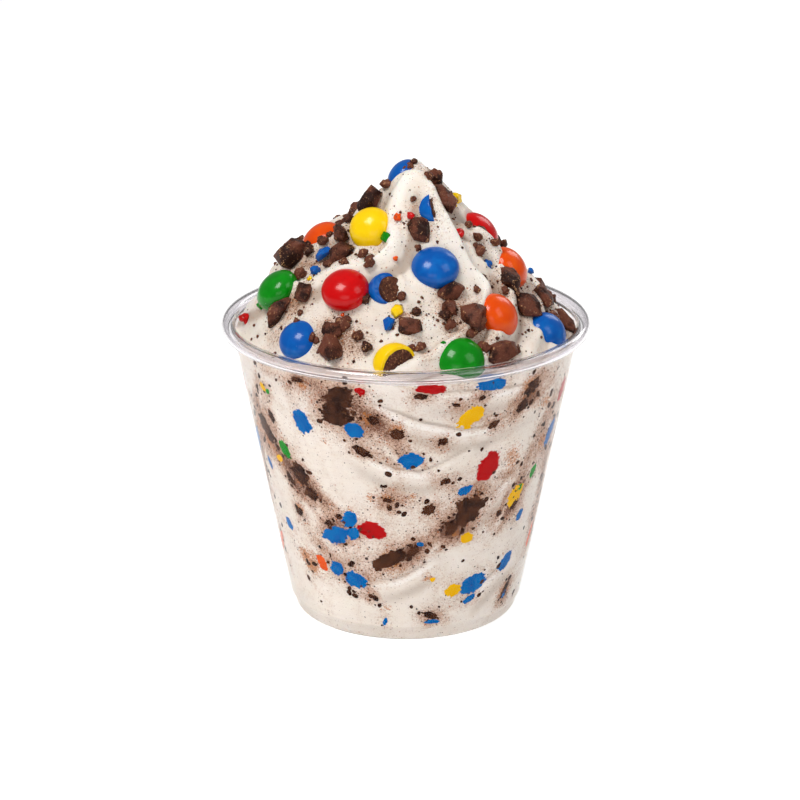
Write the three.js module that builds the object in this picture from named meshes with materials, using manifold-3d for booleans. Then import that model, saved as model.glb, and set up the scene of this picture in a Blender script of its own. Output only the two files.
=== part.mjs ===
// A cup of blended ice cream: a clear thermoformed cup with a rolled rim, filled to the rim and heaped into a
// folded peak, with sugar-shelled chocolate candies and broken pieces of them pressed into the ice cream.
// Millimetres, +Z up. The origin is the centre of the cup's foot, on the surface below it. The front is -Y.
import * as THREE from "three";
import { ConvexGeometry } from "three/addons/geometries/ConvexGeometry.js";
import { mergeVertices } from "three/addons/utils/BufferGeometryUtils.js";
import Module from "manifold-3d";

const wasm = await Module();
wasm.setup();

// ---------- Driving dimensions ----------
const RIM_RADIUS = 47.5; // outside of the rolled rim
const CUP_HEIGHT = 78.5;
const BEAD_RADIUS = 1.75; // of the roll's own section
const WALL = 0.7;
const FOOT_RADIUS = 29.4; // outside of the foot, above its rounded edge
const STEP_HEIGHT = 3.9; // the stacking step above the foot
const STEP_OUT = 0.7;
const FLOOR_RISE = 1.6; // the floor is pushed up inside the foot ring
const TIP_HEIGHT = 119.3; // the peak of the ice cream
const TIP_OFFSET = 2.4; // the peak leans this far towards +X
const HEAP_SLOPE = 1.03;
const NECK = 2.4; // the peak stands up from the cone by this much
const SWELL = 5; // the left side of the heap bulges by this much
const GAP = 0.3; // between neighbouring solids
const SIDES = 44; // round the cup and the heap
const SHELL = 0.9; // thickness of a candy's sugar shell

const radians = THREE.MathUtils.degToRad;
const beadCentre = { r: RIM_RADIUS - BEAD_RADIUS, z: CUP_HEIGHT - BEAD_RADIUS };
const stepRadius = FOOT_RADIUS + 0.4 + STEP_OUT;
const outerTop = RIM_RADIUS - 2 * BEAD_RADIUS + WALL;
const floorTop = FLOOR_RISE + WALL;

// Radius of the cup's outer wall between its step and its rim.
const taper = (outerTop - stepRadius) / (beadCentre.z - STEP_HEIGHT);
const outerWall = (z) => stepRadius + taper * (z - STEP_HEIGHT);
const innerWall = (z) => outerWall(z) - WALL;

// ---------- Solids ----------
// Turns a closed three.js geometry into a solid, the right way out.
function solidOf(geometry) {
  const bare = geometry.clone();
  bare.deleteAttribute("normal");
  bare.deleteAttribute("uv");
  const merged = mergeVertices(bare, 1e-4);
  const corners = merged.index.array;
  const kept = [];
  for (let i = 0; i < corners.length; i += 3) {
    const [a, b, c] = [corners[i], corners[i + 1], corners[i + 2]];
    if (a !== b && b !== c && a !== c) kept.push(a, b, c);
  }
  const build = (order) =>
    new wasm.Manifold(
      new wasm.Mesh({
        numProp: 3,
        vertProperties: merged.attributes.position.array,
        triVerts: new Uint32Array(order),
      }),
    );
  const solid = build(kept);
  return solid.volume() >= 0 ? solid : build(kept.reverse());
}

// The solid without loose scraps: its largest body, with any sealed hollow inside it filled.
function largestBody(solid) {
  const bodies = solid.decompose();
  return bodies.reduce((best, body) => (body.volume() > best.volume() ? body : best));
}

function geometryOf(solid) {
  const mesh = solid.getMesh();
  const geometry = new THREE.BufferGeometry();
  geometry.setAttribute("position", new THREE.BufferAttribute(new Float32Array(mesh.vertProperties), 3));
  geometry.setIndex(new THREE.BufferAttribute(new Uint32Array(mesh.triVerts), 1));
  geometry.computeVertexNormals();
  return geometry;
}

function lathe(profile, sides = SIDES) {
  const points = profile.map(([r, z]) => new THREE.Vector2(r, z));
  const geometry = new THREE.LatheGeometry(points, sides);
  geometry.rotateX(Math.PI / 2);
  return solidOf(geometry);
}

// Points on an arc of the rolled rim, from one angle to another, in degrees.
function arc(centre, radius, from, to, steps) {
  return Array.from({ length: steps + 1 }, (_, i) => {
    const angle = radians(from + ((to - from) * i) / steps);
    return [centre.r + radius * Math.cos(angle), centre.z + radius * Math.sin(angle)];
  });
}

// ---------- The cup ----------
function cupSolid() {
  const curlEnd = -112;
  const innerFloorRadius = FOOT_RADIUS - 4.6;
  const ringInner = FOOT_RADIUS - 4;
  return lathe([
    [0, floorTop],
    [innerFloorRadius, floorTop],
    [innerFloorRadius + 1.4, 0.75],
    [FOOT_RADIUS - 1.5, 0.75],
    [FOOT_RADIUS - WALL, 1.6],
    [FOOT_RADIUS + 0.4 - WALL, STEP_HEIGHT - 0.4],
    [innerWall(STEP_HEIGHT), STEP_HEIGHT],
    ...arc(beadCentre, BEAD_RADIUS, 180, curlEnd, 7),
    ...arc(beadCentre, BEAD_RADIUS - WALL + 0.05, curlEnd, 180, 4),
    [stepRadius, STEP_HEIGHT],
    [FOOT_RADIUS + 0.4, STEP_HEIGHT - 0.5],
    [FOOT_RADIUS, 1.3],
    [FOOT_RADIUS - 0.4, 0.4],
    [FOOT_RADIUS - 1.3, 0],
    [ringInner, 0],
    [innerFloorRadius - 0.6, FLOOR_RISE],
    [0, FLOOR_RISE],
  ]);
}

// The room inside the cup, kept clear of its wall, and open above the rim.
function roomInside() {
  const lipZ = CUP_HEIGHT + GAP;
  return lathe([
    [0, floorTop + GAP],
    [FOOT_RADIUS - 4.8, floorTop + GAP],
    [FOOT_RADIUS - 3, 0.75 + 2 * GAP],
    [FOOT_RADIUS - 1.9, 0.75 + 2 * GAP],
    [FOOT_RADIUS - WALL - GAP, 1.9],
    [FOOT_RADIUS + 0.35 - WALL - GAP, STEP_HEIGHT],
    [innerWall(STEP_HEIGHT + 1) - GAP, STEP_HEIGHT + 1],
    [innerWall(beadCentre.z) - GAP, beadCentre.z],
    [innerWall(beadCentre.z) - GAP, lipZ],
    [RIM_RADIUS - BEAD_RADIUS - 0.4, lipZ + 0.6],
    [RIM_RADIUS - 0.2, lipZ + 5],
    [RIM_RADIUS - 0.2, TIP_HEIGHT + 10],
    [0, TIP_HEIGHT + 10],
  ]);
}

// ---------- The heap ----------
// Each fold is a soft crest that leaves the peak, swings one way down to its turn and then sweeps back round.
const FOLDS = [
  { turnAzimuth: -48, turnRadius: 29, swingIn: 55, swingBack: 52, height: 1.9, width: 3.2 },
  { turnAzimuth: -29, turnRadius: 29, swingIn: 80, swingBack: 46, height: 1.5, width: 2.8 },
  { turnAzimuth: -7, turnRadius: 32, swingIn: 84, swingBack: 44, height: 1.2, width: 2.8 },
  { turnAzimuth: 38, turnRadius: 25, swingIn: 50, swingBack: 70, height: 1.8, width: 3.6 },
  { turnAzimuth: 92, turnRadius: 22, swingIn: 46, swingBack: 80, height: 1.7, width: 3.2 },
  { turnAzimuth: 146, turnRadius: 24, swingIn: 44, swingBack: 76, height: 1.6, width: 3.6 },
  { turnAzimuth: 200, turnRadius: 22, swingIn: 40, swingBack: 60, height: 1.4, width: 3 },
  { turnAzimuth: 256, turnRadius: 20, swingIn: 34, swingBack: 92, height: 2, width: 3.4 },
];
const HEAP_RADIUS = innerWall(76) - GAP;
const RINGS = 17; // of the heap's surface, from the peak to the wall
const TIP_ROUND = 2.5;

const smooth = (low, high, x) => THREE.MathUtils.smoothstep(x, low, high);
const wrap = (angle) => Math.atan2(Math.sin(angle), Math.cos(angle));

// Height that one fold adds at a place given in the heap's own polar coordinates.
function foldHeight(fold, r, azimuth) {
  const inside = Math.max(0, 1 - r / fold.turnRadius);
  const outside = Math.max(0, (r - fold.turnRadius) / (HEAP_RADIUS - fold.turnRadius));
  const swing = fold.swingIn * inside ** 1.5 + fold.swingBack * outside ** 1.3;
  const across = r * wrap(azimuth - radians(fold.turnAzimuth - swing));
  const lean = 1 + 1.2 * inside + 1.1 * outside; // the crest runs aslant, so it is narrower across than round
  const d = across / lean / fold.width;
  return fold.height * Math.exp(-d * d);
}

// Height of the ice cream's surface over a point of the cup's plan.
function heapHeight(x, y) {
  const lean = TIP_OFFSET * Math.max(0, 1 - Math.hypot(x, y) / HEAP_RADIUS);
  const r = Math.hypot(x - lean, y);
  const azimuth = Math.atan2(y, x - lean);
  const cone = TIP_HEIGHT - HEAP_SLOPE * (Math.hypot(r, TIP_ROUND) - TIP_ROUND) - NECK * smooth(0, 9, r);
  const towardsLeft = smooth(-0.2, 0.9, -Math.cos(azimuth));
  const swell = SWELL * towardsLeft * smooth(12, 32, r) * (1 - smooth(35, 46, r));
  const relief = FOLDS.reduce((sum, fold) => sum + foldHeight(fold, r, azimuth), 0) - 0.9;
  const fade = smooth(2, 10, r) * (1 - 0.75 * smooth(34, 42, r));
  const ripple =
    0.35 * Math.sin(0.31 * x + 1.7 * Math.sin(0.17 * y)) + 0.3 * Math.sin(0.37 * y + 0.8 - 0.12 * x);
  return cone + swell + fade * (relief + ripple);
}

// Place, outward normal and downhill direction on the heap.
function heapSpot(azimuthDegrees, r) {
  const x = r * Math.cos(radians(azimuthDegrees));
  const y = r * Math.sin(radians(azimuthDegrees));
  const reach = 2.5; // a topping rests on the slope over about this distance
  const slopeX = (heapHeight(x + reach, y) - heapHeight(x - reach, y)) / (2 * reach);
  const slopeY = (heapHeight(x, y + reach) - heapHeight(x, y - reach)) / (2 * reach);
  const normal = new THREE.Vector3(-slopeX, -slopeY, 1).normalize();
  return { point: new THREE.Vector3(x, y, heapHeight(x, y)), normal };
}

function iceCreamCore() {
  const rings = [];
  for (let i = 1; i <= RINGS; i++) rings.push((HEAP_RADIUS * i) / RINGS);
  const levels = [40, STEP_HEIGHT + 1];
  const bottom = floorTop + GAP;
  const positions = [TIP_OFFSET * 0.9, 0, heapHeight(TIP_OFFSET * 0.9, 0)];
  const ringAt = (r, height) => {
    for (let k = 0; k < SIDES; k++) {
      // The lathe starts its sides at +Y, so the heap does too.
      const angle = (2 * Math.PI * k) / SIDES;
      const [x, y] = [r * Math.sin(angle), r * Math.cos(angle)];
      positions.push(x, y, height(x, y));
    }
  };
  for (const r of rings) ringAt(r, heapHeight);
  for (const z of levels) ringAt(innerWall(z) - GAP, () => z);
  ringAt(FOOT_RADIUS - 5.2, () => bottom);
  positions.push(0, 0, bottom);
  const ringCount = rings.length + levels.length + 1;
  const last = positions.length / 3 - 1;
  const index = [];
  for (let k = 0; k < SIDES; k++) {
    const next = (k + 1) % SIDES;
    index.push(0, 1 + next, 1 + k);
    for (let ring = 0; ring < ringCount - 1; ring++) {
      const [a, b] = [1 + ring * SIDES + k, 1 + ring * SIDES + next];
      const [c, d] = [a + SIDES, b + SIDES];
      index.push(a, b, c, b, d, c);
    }
    const base = 1 + (ringCount - 1) * SIDES;
    index.push(last, base + k, base + next);
  }
  const geometry = new THREE.BufferGeometry();
  geometry.setAttribute("position", new THREE.Float32BufferAttribute(positions, 3));
  geometry.setIndex(index);
  return solidOf(geometry);
}

// ---------- Toppings ----------
// A repeatable draw from 0 to 1 for the shape of one piece.
const draw = (seed, k) => {
  const value = Math.sin(seed * 12.9898 + k * 78.233) * 43758.5453;
  return value - Math.floor(value);
};

// A candy is a fat lens, made by turning half an ellipse round its short axis.
function lens(diameter, thickness, sides = 12, steps = 6) {
  const half = Array.from({ length: steps + 1 }, (_, i) => {
    const angle = -Math.PI / 2 + (Math.PI * i) / steps;
    return [i % steps ? (diameter / 2) * Math.cos(angle) : 0, (thickness / 2) * Math.sin(angle)];
  });
  return lathe(half, sides);
}

// A broken piece is the hull of a few points strewn over a box of its size.
function brokenPiece(length, width, height, seed, corners = 11) {
  const points = Array.from({ length: corners }, (_, i) => {
    const turn = i * 2.39996 + draw(seed, 3 * i);
    const level = 1 - (2 * (i + 0.5)) / corners;
    const round = Math.sqrt(1 - level * level);
    const bulge = 0.82 + 0.36 * draw(seed, 3 * i + 1);
    return new THREE.Vector3(
      (length / 2) * bulge * round * Math.cos(turn),
      (width / 2) * bulge * round * Math.sin(turn),
      (height / 2) * bulge * level,
    );
  });
  return solidOf(new ConvexGeometry(points));
}

const direction = ([azimuth, elevation]) =>
  new THREE.Vector3(
    Math.cos(radians(elevation)) * Math.cos(radians(azimuth)),
    Math.cos(radians(elevation)) * Math.sin(radians(azimuth)),
    Math.sin(radians(elevation)),
  );

// Moves a solid made at the origin, +Z up, to its place on the heap. Its +Z faces the given azimuth and
// elevation, or stands on the slope. lift raises its centre above the surface, and turn spins it on its +Z.
function settle(solid, { azimuth, r, lift = 0, face, turn = 0 }) {
  const { point, normal } = heapSpot(azimuth, r);
  const up = face ? direction(face) : normal;
  const side = new THREE.Vector3().crossVectors(up, direction([azimuth, -20])).normalize();
  const along = new THREE.Vector3().crossVectors(side, up).applyAxisAngle(up, radians(turn));
  const across = new THREE.Vector3().crossVectors(up, along);
  const place = new THREE.Matrix4().makeBasis(along, across, up);
  place.setPosition(point.addScaledVector(normal, lift));
  return solid.transform(place.elements);
}

const COLOURS = { blue: 0x0a63c9, red: 0xc8131b, yellow: 0xfbd20a, green: 0x13972b, orange: 0xf2640f };
const CHOCOLATE = 0x4a2a1e;

// Whole candies: colour, azimuth in degrees, distance from the cup's axis, diameter, how far the centre
// stands proud, and the azimuth and elevation that the flat of the candy faces.
const CANDIES = [
  ["blue", 166, 2, 9.4, -1.7, [176, 40]],
  ["yellow", -127.5, 13.5, 11.2, 0.8, [-110, 32]],
  ["orange", -179, 21.2, 11.8, 0.3, [-160, 48]],
  ["green", -156, 34.9, 11.8, 0.5, [-168, 48]],
  ["red", -121, 28.9, 12, 0.6, [-105, 58]],
  ["blue", -70.5, 21.4, 12, 0.5, [-88, 56]],
  ["orange", -46.7, 33.2, 11.6, 0.2, [-32, 32]],
  ["green", -69.8, 39.2, 12.2, -0.8, [-80, 42]],
  ["blue", -132.7, 39.2, 11, -1.1, [-115, 50]],
  ["blue", -23.5, 39.2, 11, -0.6, [-40, 36]],
  ["red", 1, 18.6, 11.8, 0, [-6, 43]],
  ["orange", -14.7, 27, 11.6, 0, [-10, 36]],
  ["green", 52, 28, 12, 0.1, [58, 40]],
  ["yellow", 70, 38, 12.2, -0.4, [60, 48]],
  ["red", 88, 19, 11.8, 0.2, [96, 52]],
  ["blue", 104, 34, 12.2, 0.2, [112, 45]],
  ["orange", 120, 19.5, 12, -0.3, [112, 42]],
  ["green", 136, 38, 12, -0.4, [142, 50]],
];
const CANDY_FATNESS = 0.69; // thickness over diameter

// Broken candies, each a sugar shell and the chocolate in it. Colour, azimuth, distance from the axis,
// diameter, lift and facing are as above. Then come the way the break faces and its distance from the centre.
const BROKEN = [
  ["yellow", -93.8, 40, 11, 0, [-100, 28], [-64, 4], 1],
  ["blue", -101.4, 25.8, 8.6, 0.8, [-108, 48], [-58, 36], 0.5],
  ["blue", -60.4, 13.2, 8.8, 0.6, [-118, 34], [-14, 20], 0.4],
];

// Chocolate chunks: azimuth, distance from the axis, length, width, height, turn and lift.
const CHUNKS = [
  [-165, 9, 7.6, 6.4, 5.4, 30, 0.9],
  [-172.6, 28.2, 8.8, 7.6, 6.6, 60, 1.4],
  [-139, 20.6, 6.8, 5.8, 4.8, 15, 1.2],
  [-157, 17.6, 6.6, 4.6, 4.2, 75, 0.9],
  [-148.5, 36.3, 10, 5.4, 5, 0, 1],
  [-139.5, 32.6, 5, 4.6, 4, 40, 0.8],
  [-76, 14.9, 7.6, 6.8, 5, 40, 1],
  [-38, 11.4, 9.4, 6.2, 5, 10, 1],
  [-23, 7.3, 4.4, 3.8, 3.6, 30, 0.7],
  [-17, 18.9, 6.4, 4.8, 4.2, 70, 1.4],
  [-66.4, 26.2, 8, 4.4, 3.6, 105, 1.4],
  [-69, 29.6, 4.6, 4.2, 3.8, 30, 1],
  [-60, 33, 8.4, 6.4, 5, -5, 1.3],
  [-27.4, 28, 8.6, 5.6, 4.8, -15, 1.2],
  [-26, 33.4, 7.8, 7.2, 5, 40, 1.2],
  [-10.5, 34.6, 8, 6.2, 3, 15, 1.6],
  [-7, 40.4, 7.4, 4.6, 3.8, 0, 0.8],
  [-54, 39.6, 9, 5.6, 4.4, 95, 0.5],
  [-117.7, 39.4, 7.4, 6.2, 4.8, 60, 0.7],
  [-119.4, 36.8, 5.4, 4.6, 4, 80, 0.9],
  [-88.8, 33, 6, 5.2, 4.2, 70, 1],
  [22, 36.5, 7.6, 6, 4.6, 50, 0.6],
  [37, 30, 7, 5, 4.4, 15, 0.7],
  [64, 18.5, 7.8, 6, 4.8, 70, 0.8],
  [85, 29, 6.2, 5.4, 4.4, 30, 0.8],
  [124, 31.5, 8.2, 5.6, 4.6, 95, 0.8],
  [119, 39.6, 7.4, 5.4, 4.2, 45, 0.5],
  [160, 29, 7.6, 6, 5, 20, 0.8],
];

// Splinters of sugar shell: colour, azimuth, distance from the axis, length, width, height, turn and lift.
const SHARDS = [
  ["green", -105, 16.5, 4.6, 3.8, 3, 40, 0.9],
  ["blue", -153, 22.6, 5.6, 5, 3, 30, 1.1],
  ["yellow", -93.8, 30.2, 5.2, 4, 3, 130, 0.8],
  ["blue", -98, 32.9, 4.8, 4.4, 3.4, 20, 0.9],
  ["yellow", 6, 12.6, 5, 3.8, 3, 60, 0.8],
  ["red", -50, 19.8, 3.6, 3, 2.8, 80, 0.7],
];

// Every topping as { name, colour, solid, grown }. grown is the same piece with the gap added all round.
function makeToppings(room) {
  const made = [];
  const counts = {};
  const keep = (name, colour, shape, grown, neighbours = made) => {
    const clear = neighbours.reduce((solid, other) => solid.subtract(other.grown), shape.intersect(room));
    made.push({ name, colour, solid: largestBody(clear), grown });
  };
  const add = (kind, colour, shape) => {
    counts[kind] = (counts[kind] ?? 0) + 1;
    keep(`${kind}_${counts[kind]}`, colour, shape(0), shape(2 * GAP));
  };

  for (const [colour, azimuth, r, diameter, lift, face] of CANDIES) {
    add(`candy_${colour}`, COLOURS[colour], (grow) =>
      settle(lens(diameter + grow, diameter * CANDY_FATNESS + grow), { azimuth, r, lift, face }),
    );
  }

  BROKEN.forEach(([colour, azimuth, r, diameter, lift, face, cut, cutAt], i) => {
    const spot = { azimuth, r, lift, face };
    const { point, normal } = heapSpot(azimuth, r);
    const centre = point.addScaledVector(normal, lift);
    const inwards = direction(cut).negate();
    const fat = (shrink) => settle(lens(diameter - shrink, diameter * CANDY_FATNESS - shrink, 16), spot);
    const behindCut = (solid, offset) =>
      solid.trimByPlane(inwards.toArray(), inwards.dot(centre) - cutAt - offset);
    const shell = behindCut(fat(0).subtract(fat(2 * SHELL)), 0);
    const core = behindCut(fat(2 * (SHELL + GAP)), -0.25);
    const grown = behindCut(fat(-2 * GAP), GAP);
    const neighbours = [...made];
    const name = `broken_${colour}_${i + 1}`;
    keep(`${name}_shell`, COLOURS[colour], shell, grown, neighbours);
    keep(`${name}_core`, CHOCOLATE, core, grown, neighbours);
  });

  CHUNKS.forEach(([azimuth, r, length, width, height, turn, lift], i) => {
    add("chunk", CHOCOLATE, (grow) =>
      settle(brokenPiece(length + grow, width + grow, height + grow, i + 1), { azimuth, r, turn, lift }),
    );
  });

  SHARDS.forEach(([colour, azimuth, r, length, width, height, turn, lift], i) => {
    add(`shard_${colour}`, COLOURS[colour], (grow) =>
      settle(brokenPiece(length + grow, width + grow, height + grow, i + 41, 8), { azimuth, r, turn, lift }),
    );
  });
  return made;
}

// ---------- Crumbs fused to the ice cream ----------
const CRUMBS = 50;
const GOLDEN_TURN = 137.508;

// Crumbs follow a sunflower pattern over the heap. One that would touch a topping is left out.
function crumbSolids(toppings) {
  const crumbs = [];
  for (let i = 0; i < CRUMBS; i++) {
    const r = 4 + 36 * Math.sqrt((i + 0.5) / CRUMBS);
    const azimuth = i * GOLDEN_TURN + 40 * draw(i, 5);
    const size = 1.5 + 1.5 * draw(i, 6);
    const spot = { azimuth, r, turn: 360 * draw(i, 7), lift: 0.12 * size };
    const crumb = settle(brokenPiece(size * 1.25, size, size * 0.85, i + 200, 7), spot);
    const touching = toppings.some((topping) => crumb.intersect(topping.grown).volume() > 0);
    if (!touching) crumbs.push(crumb);
  }
  return crumbs;
}

// ---------- The part ----------
const part = new THREE.Group();

function addMesh(name, solid, material) {
  const mesh = new THREE.Mesh(geometryOf(solid), new THREE.MeshStandardMaterial(material));
  mesh.name = name;
  part.add(mesh);
}

const room = roomInside();
const toppings = makeToppings(room);
let iceCream = iceCreamCore();
for (const crumb of crumbSolids(toppings)) iceCream = iceCream.add(crumb);
iceCream = iceCream.intersect(room);
for (const topping of toppings) iceCream = iceCream.subtract(topping.grown);

addMesh("cup", cupSolid(), { color: 0xe8ebef, roughness: 0.08, transparent: true, opacity: 0.35 });
addMesh("ice_cream", largestBody(iceCream), { color: 0xf3ece1, roughness: 0.5 });
for (const { name, colour, solid } of toppings) {
  addMesh(name, solid, { color: colour, roughness: colour === CHOCOLATE ? 0.6 : 0.2 });
}

export default part;
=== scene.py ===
# %% [markdown]
# # A cup of blended ice cream
#
# A clear cup is filled to its rolled rim with soft vanilla ice cream that has sugar-shelled candies and
# broken chocolate stirred through it. More of them are pressed into the folded heap on top. The packed
# solids give each piece its place and size. This lesson dresses them: every piece is built as a mesh with
# its own detail, and every finish is made from shader nodes.
#
# All shapes are worked out in millimetres, with +Z up and the front towards -Y, and turned into metres at
# the last moment, when a mesh is made.

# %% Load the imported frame
import math

import bmesh
import bpy
import numpy as np
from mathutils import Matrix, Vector
from mathutils.bvhtree import BVHTree


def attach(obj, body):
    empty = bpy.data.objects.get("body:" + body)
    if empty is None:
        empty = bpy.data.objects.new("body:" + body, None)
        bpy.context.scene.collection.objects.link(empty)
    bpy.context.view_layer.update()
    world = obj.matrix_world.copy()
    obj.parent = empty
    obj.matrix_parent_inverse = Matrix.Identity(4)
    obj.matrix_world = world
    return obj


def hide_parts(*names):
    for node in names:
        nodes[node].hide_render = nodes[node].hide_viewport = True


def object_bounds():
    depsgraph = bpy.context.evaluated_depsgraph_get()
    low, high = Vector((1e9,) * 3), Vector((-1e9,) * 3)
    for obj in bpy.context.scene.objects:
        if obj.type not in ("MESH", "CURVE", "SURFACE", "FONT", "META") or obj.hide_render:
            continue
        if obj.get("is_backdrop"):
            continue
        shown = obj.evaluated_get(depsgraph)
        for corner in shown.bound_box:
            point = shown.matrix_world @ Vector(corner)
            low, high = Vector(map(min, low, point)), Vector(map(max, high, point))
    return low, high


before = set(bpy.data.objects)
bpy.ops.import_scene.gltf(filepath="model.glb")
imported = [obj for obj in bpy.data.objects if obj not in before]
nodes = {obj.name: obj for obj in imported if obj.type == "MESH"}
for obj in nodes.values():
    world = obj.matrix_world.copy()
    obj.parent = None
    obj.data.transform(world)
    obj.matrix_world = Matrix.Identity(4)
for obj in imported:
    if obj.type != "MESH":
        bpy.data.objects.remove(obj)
cad_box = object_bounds()
MM = 0.001
print("packed solids:", len(nodes), "box in metres:", [[round(v, 4) for v in corner] for corner in cad_box])

# %% [markdown]
# ## Helpers for shapes
#
# Ice cream, crumbs and broken chocolate are uneven, so most surfaces here need a noise that is the same on
# every run. Blender's own noise works on one point at a time. A lattice of hashed numbers, blended smoothly
# between its corners, does a whole array of points at once, so it is used for all the geometry.

# %% Repeatable draws and noise
def draw(seed, k=0):
    """A repeatable number from 0 to 1."""
    value = math.sin(seed * 12.9898 + k * 78.233) * 43758.5453
    return value - math.floor(value)


def lattice(corner, seed):
    """A number from -1 to 1 for each whole-numbered corner of a lattice."""
    x, y, z = (corner[:, i].astype(np.int64).astype(np.uint32) for i in range(3))
    h = x * np.uint32(374761393) + y * np.uint32(668265263) + z * np.uint32(2246822519)
    h = h + np.uint32((seed * 974634777 + 12345) % 2**32)
    h = (h ^ (h >> np.uint32(13))) * np.uint32(1274126177)
    h = (h ^ (h >> np.uint32(16))) * np.uint32(2654435761)
    return (h >> np.uint32(8)).astype(float) / 2**23 - 1


def noise(points, size, seed=0):
    """Smooth noise from about -1 to 1, with lumps of the given size, at an array of points."""
    scaled = np.asarray(points, float) / size + 1000
    low = np.floor(scaled)
    t = scaled - low
    t = t * t * (3 - 2 * t)
    total = np.zeros(len(scaled))
    for i in (0, 1):
        for j in (0, 1):
            for k in (0, 1):
                side = np.array([i, j, k])
                share = np.prod(np.where(side == 1, t, 1 - t), axis=1)
                total += share * lattice(low + side, seed)
    return total


def smooth(low, high, x):
    t = np.clip((x - low) / (high - low), 0, 1)
    return t * t * (3 - 2 * t)


def hump(x, middle, width):
    """1 in the middle, falling away softly on both sides."""
    return np.exp(-((x - middle) / width) ** 2)


def normed(vector):
    return vector / np.linalg.norm(vector)


def swung(u, v, angle):
    """Two directions or coordinates, seen from axes that are turned by an angle."""
    return u * math.cos(angle) + v * math.sin(angle), v * math.cos(angle) - u * math.sin(angle)


print("noise sample:", np.round(noise([[1.2, 3.4, 5.6], [7, 8, 9]], 2), 4))

# %% [markdown]
# A piece is an array of points and a list of faces. Some pieces also carry a number at each point, such as
# how dusty or how worn the surface is there, which the material reads later. One helper turns all of that
# into an object that rides on the cup.

# %% Make a piece
def make_piece(name, points, faces, look, marks=None, replaces=()):
    mesh = bpy.data.meshes.new(name)
    mesh.from_pydata((np.asarray(points) * MM).tolist(), [], [list(f) for f in faces])
    mesh.polygons.foreach_set("use_smooth", [True] * len(mesh.polygons))
    for mark, values in (marks or {}).items():
        attribute = mesh.attributes.new(mark, "FLOAT", "POINT")
        attribute.data.foreach_set("value", np.asarray(values, np.float32))
    mesh.validate()
    piece = bpy.data.objects.new(name, mesh)
    bpy.context.scene.collection.objects.link(piece)
    mesh.materials.append(look)
    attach(piece, "root")
    if replaces:
        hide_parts(*replaces)
    print(f"{name}: {len(mesh.vertices)} points, {len(mesh.polygons)} faces")
    return piece


def ball(detail):
    """Points and triangles of a ball of radius 1 made of even triangles."""
    form = bmesh.new()
    bmesh.ops.create_icosphere(form, subdivisions=detail, radius=1)
    points = np.array([v.co for v in form.verts], float)
    faces = np.array([[v.index for v in f.verts] for f in form.faces])
    form.free()
    return points, faces


def ring(radius, angle, z):
    """Points round the axis."""
    return np.stack(np.broadcast_arrays(radius * np.cos(angle), radius * np.sin(angle), z), 1)


def turned(rings, sides):
    """Faces of a surface of `rings` rings with `sides` points each, and with a point added at each end."""
    k = np.arange(sides)
    n = (k + 1) % sides
    faces = []
    for i in range(rings - 1):
        a, b = 1 + i * sides, 1 + (i + 1) * sides
        faces += np.stack([a + k, b + k, b + n, a + n], 1).tolist()
    last = 1 + (rings - 1) * sides
    faces += np.stack([np.zeros_like(k), 1 + k, 1 + n], 1).tolist()
    faces += np.stack([np.full_like(k, last + sides), last + n, last + k], 1).tolist()
    return faces


def join(parts):
    """Joins (points, faces, marks) parts into one."""
    points, faces, marks, start = [], [], {}, 0
    for part_points, part_faces, part_marks in parts:
        points.append(part_points)
        faces += [[i + start for i in f] for f in part_faces]
        for mark, values in part_marks.items():
            marks.setdefault(mark, []).append(values)
        start += len(part_points)
    return np.concatenate(points), faces, {m: np.concatenate(v) for m, v in marks.items()}


def make_joined(name, parts, look, replaces=()):
    points, faces, marks = join(parts)
    make_piece(name, points, faces, look, marks, replaces)


# %% [markdown]
# ## Helpers for finishes
#
# A finish is a tree of shader nodes. Written out by hand, each sum takes three lines. `Wire` wraps a
# socket, so that `1 - mask * 0.5` adds the Math nodes by itself. Every other node comes from `Look.node`,
# which takes the node's type, its settings, and the values or wires of its sockets.

# %% Shader arithmetic
class Wire:
    """A shader socket that takes part in Python arithmetic."""

    def __init__(self, look, socket):
        self.look, self.socket = look, socket

    def maths(self, operation, *values):
        return self.look.node("Math", {"operation": operation}, dict(enumerate(values)))

    def __add__(self, other):
        return self.maths("ADD", self, other)

    def __sub__(self, other):
        return self.maths("SUBTRACT", self, other)

    def __rsub__(self, other):
        return self.maths("SUBTRACT", other, self)

    def __mul__(self, other):
        return self.maths("MULTIPLY", self, other)

    __radd__, __rmul__ = __add__, __mul__

    def between(self, low, high):
        """0 below low, 1 above high, and a smooth step between them."""
        values = {"Value": self, "From Min": low, "From Max": high}
        return self.look.node("MapRange", {"interpolation_type": "SMOOTHSTEP"}, values)


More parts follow.
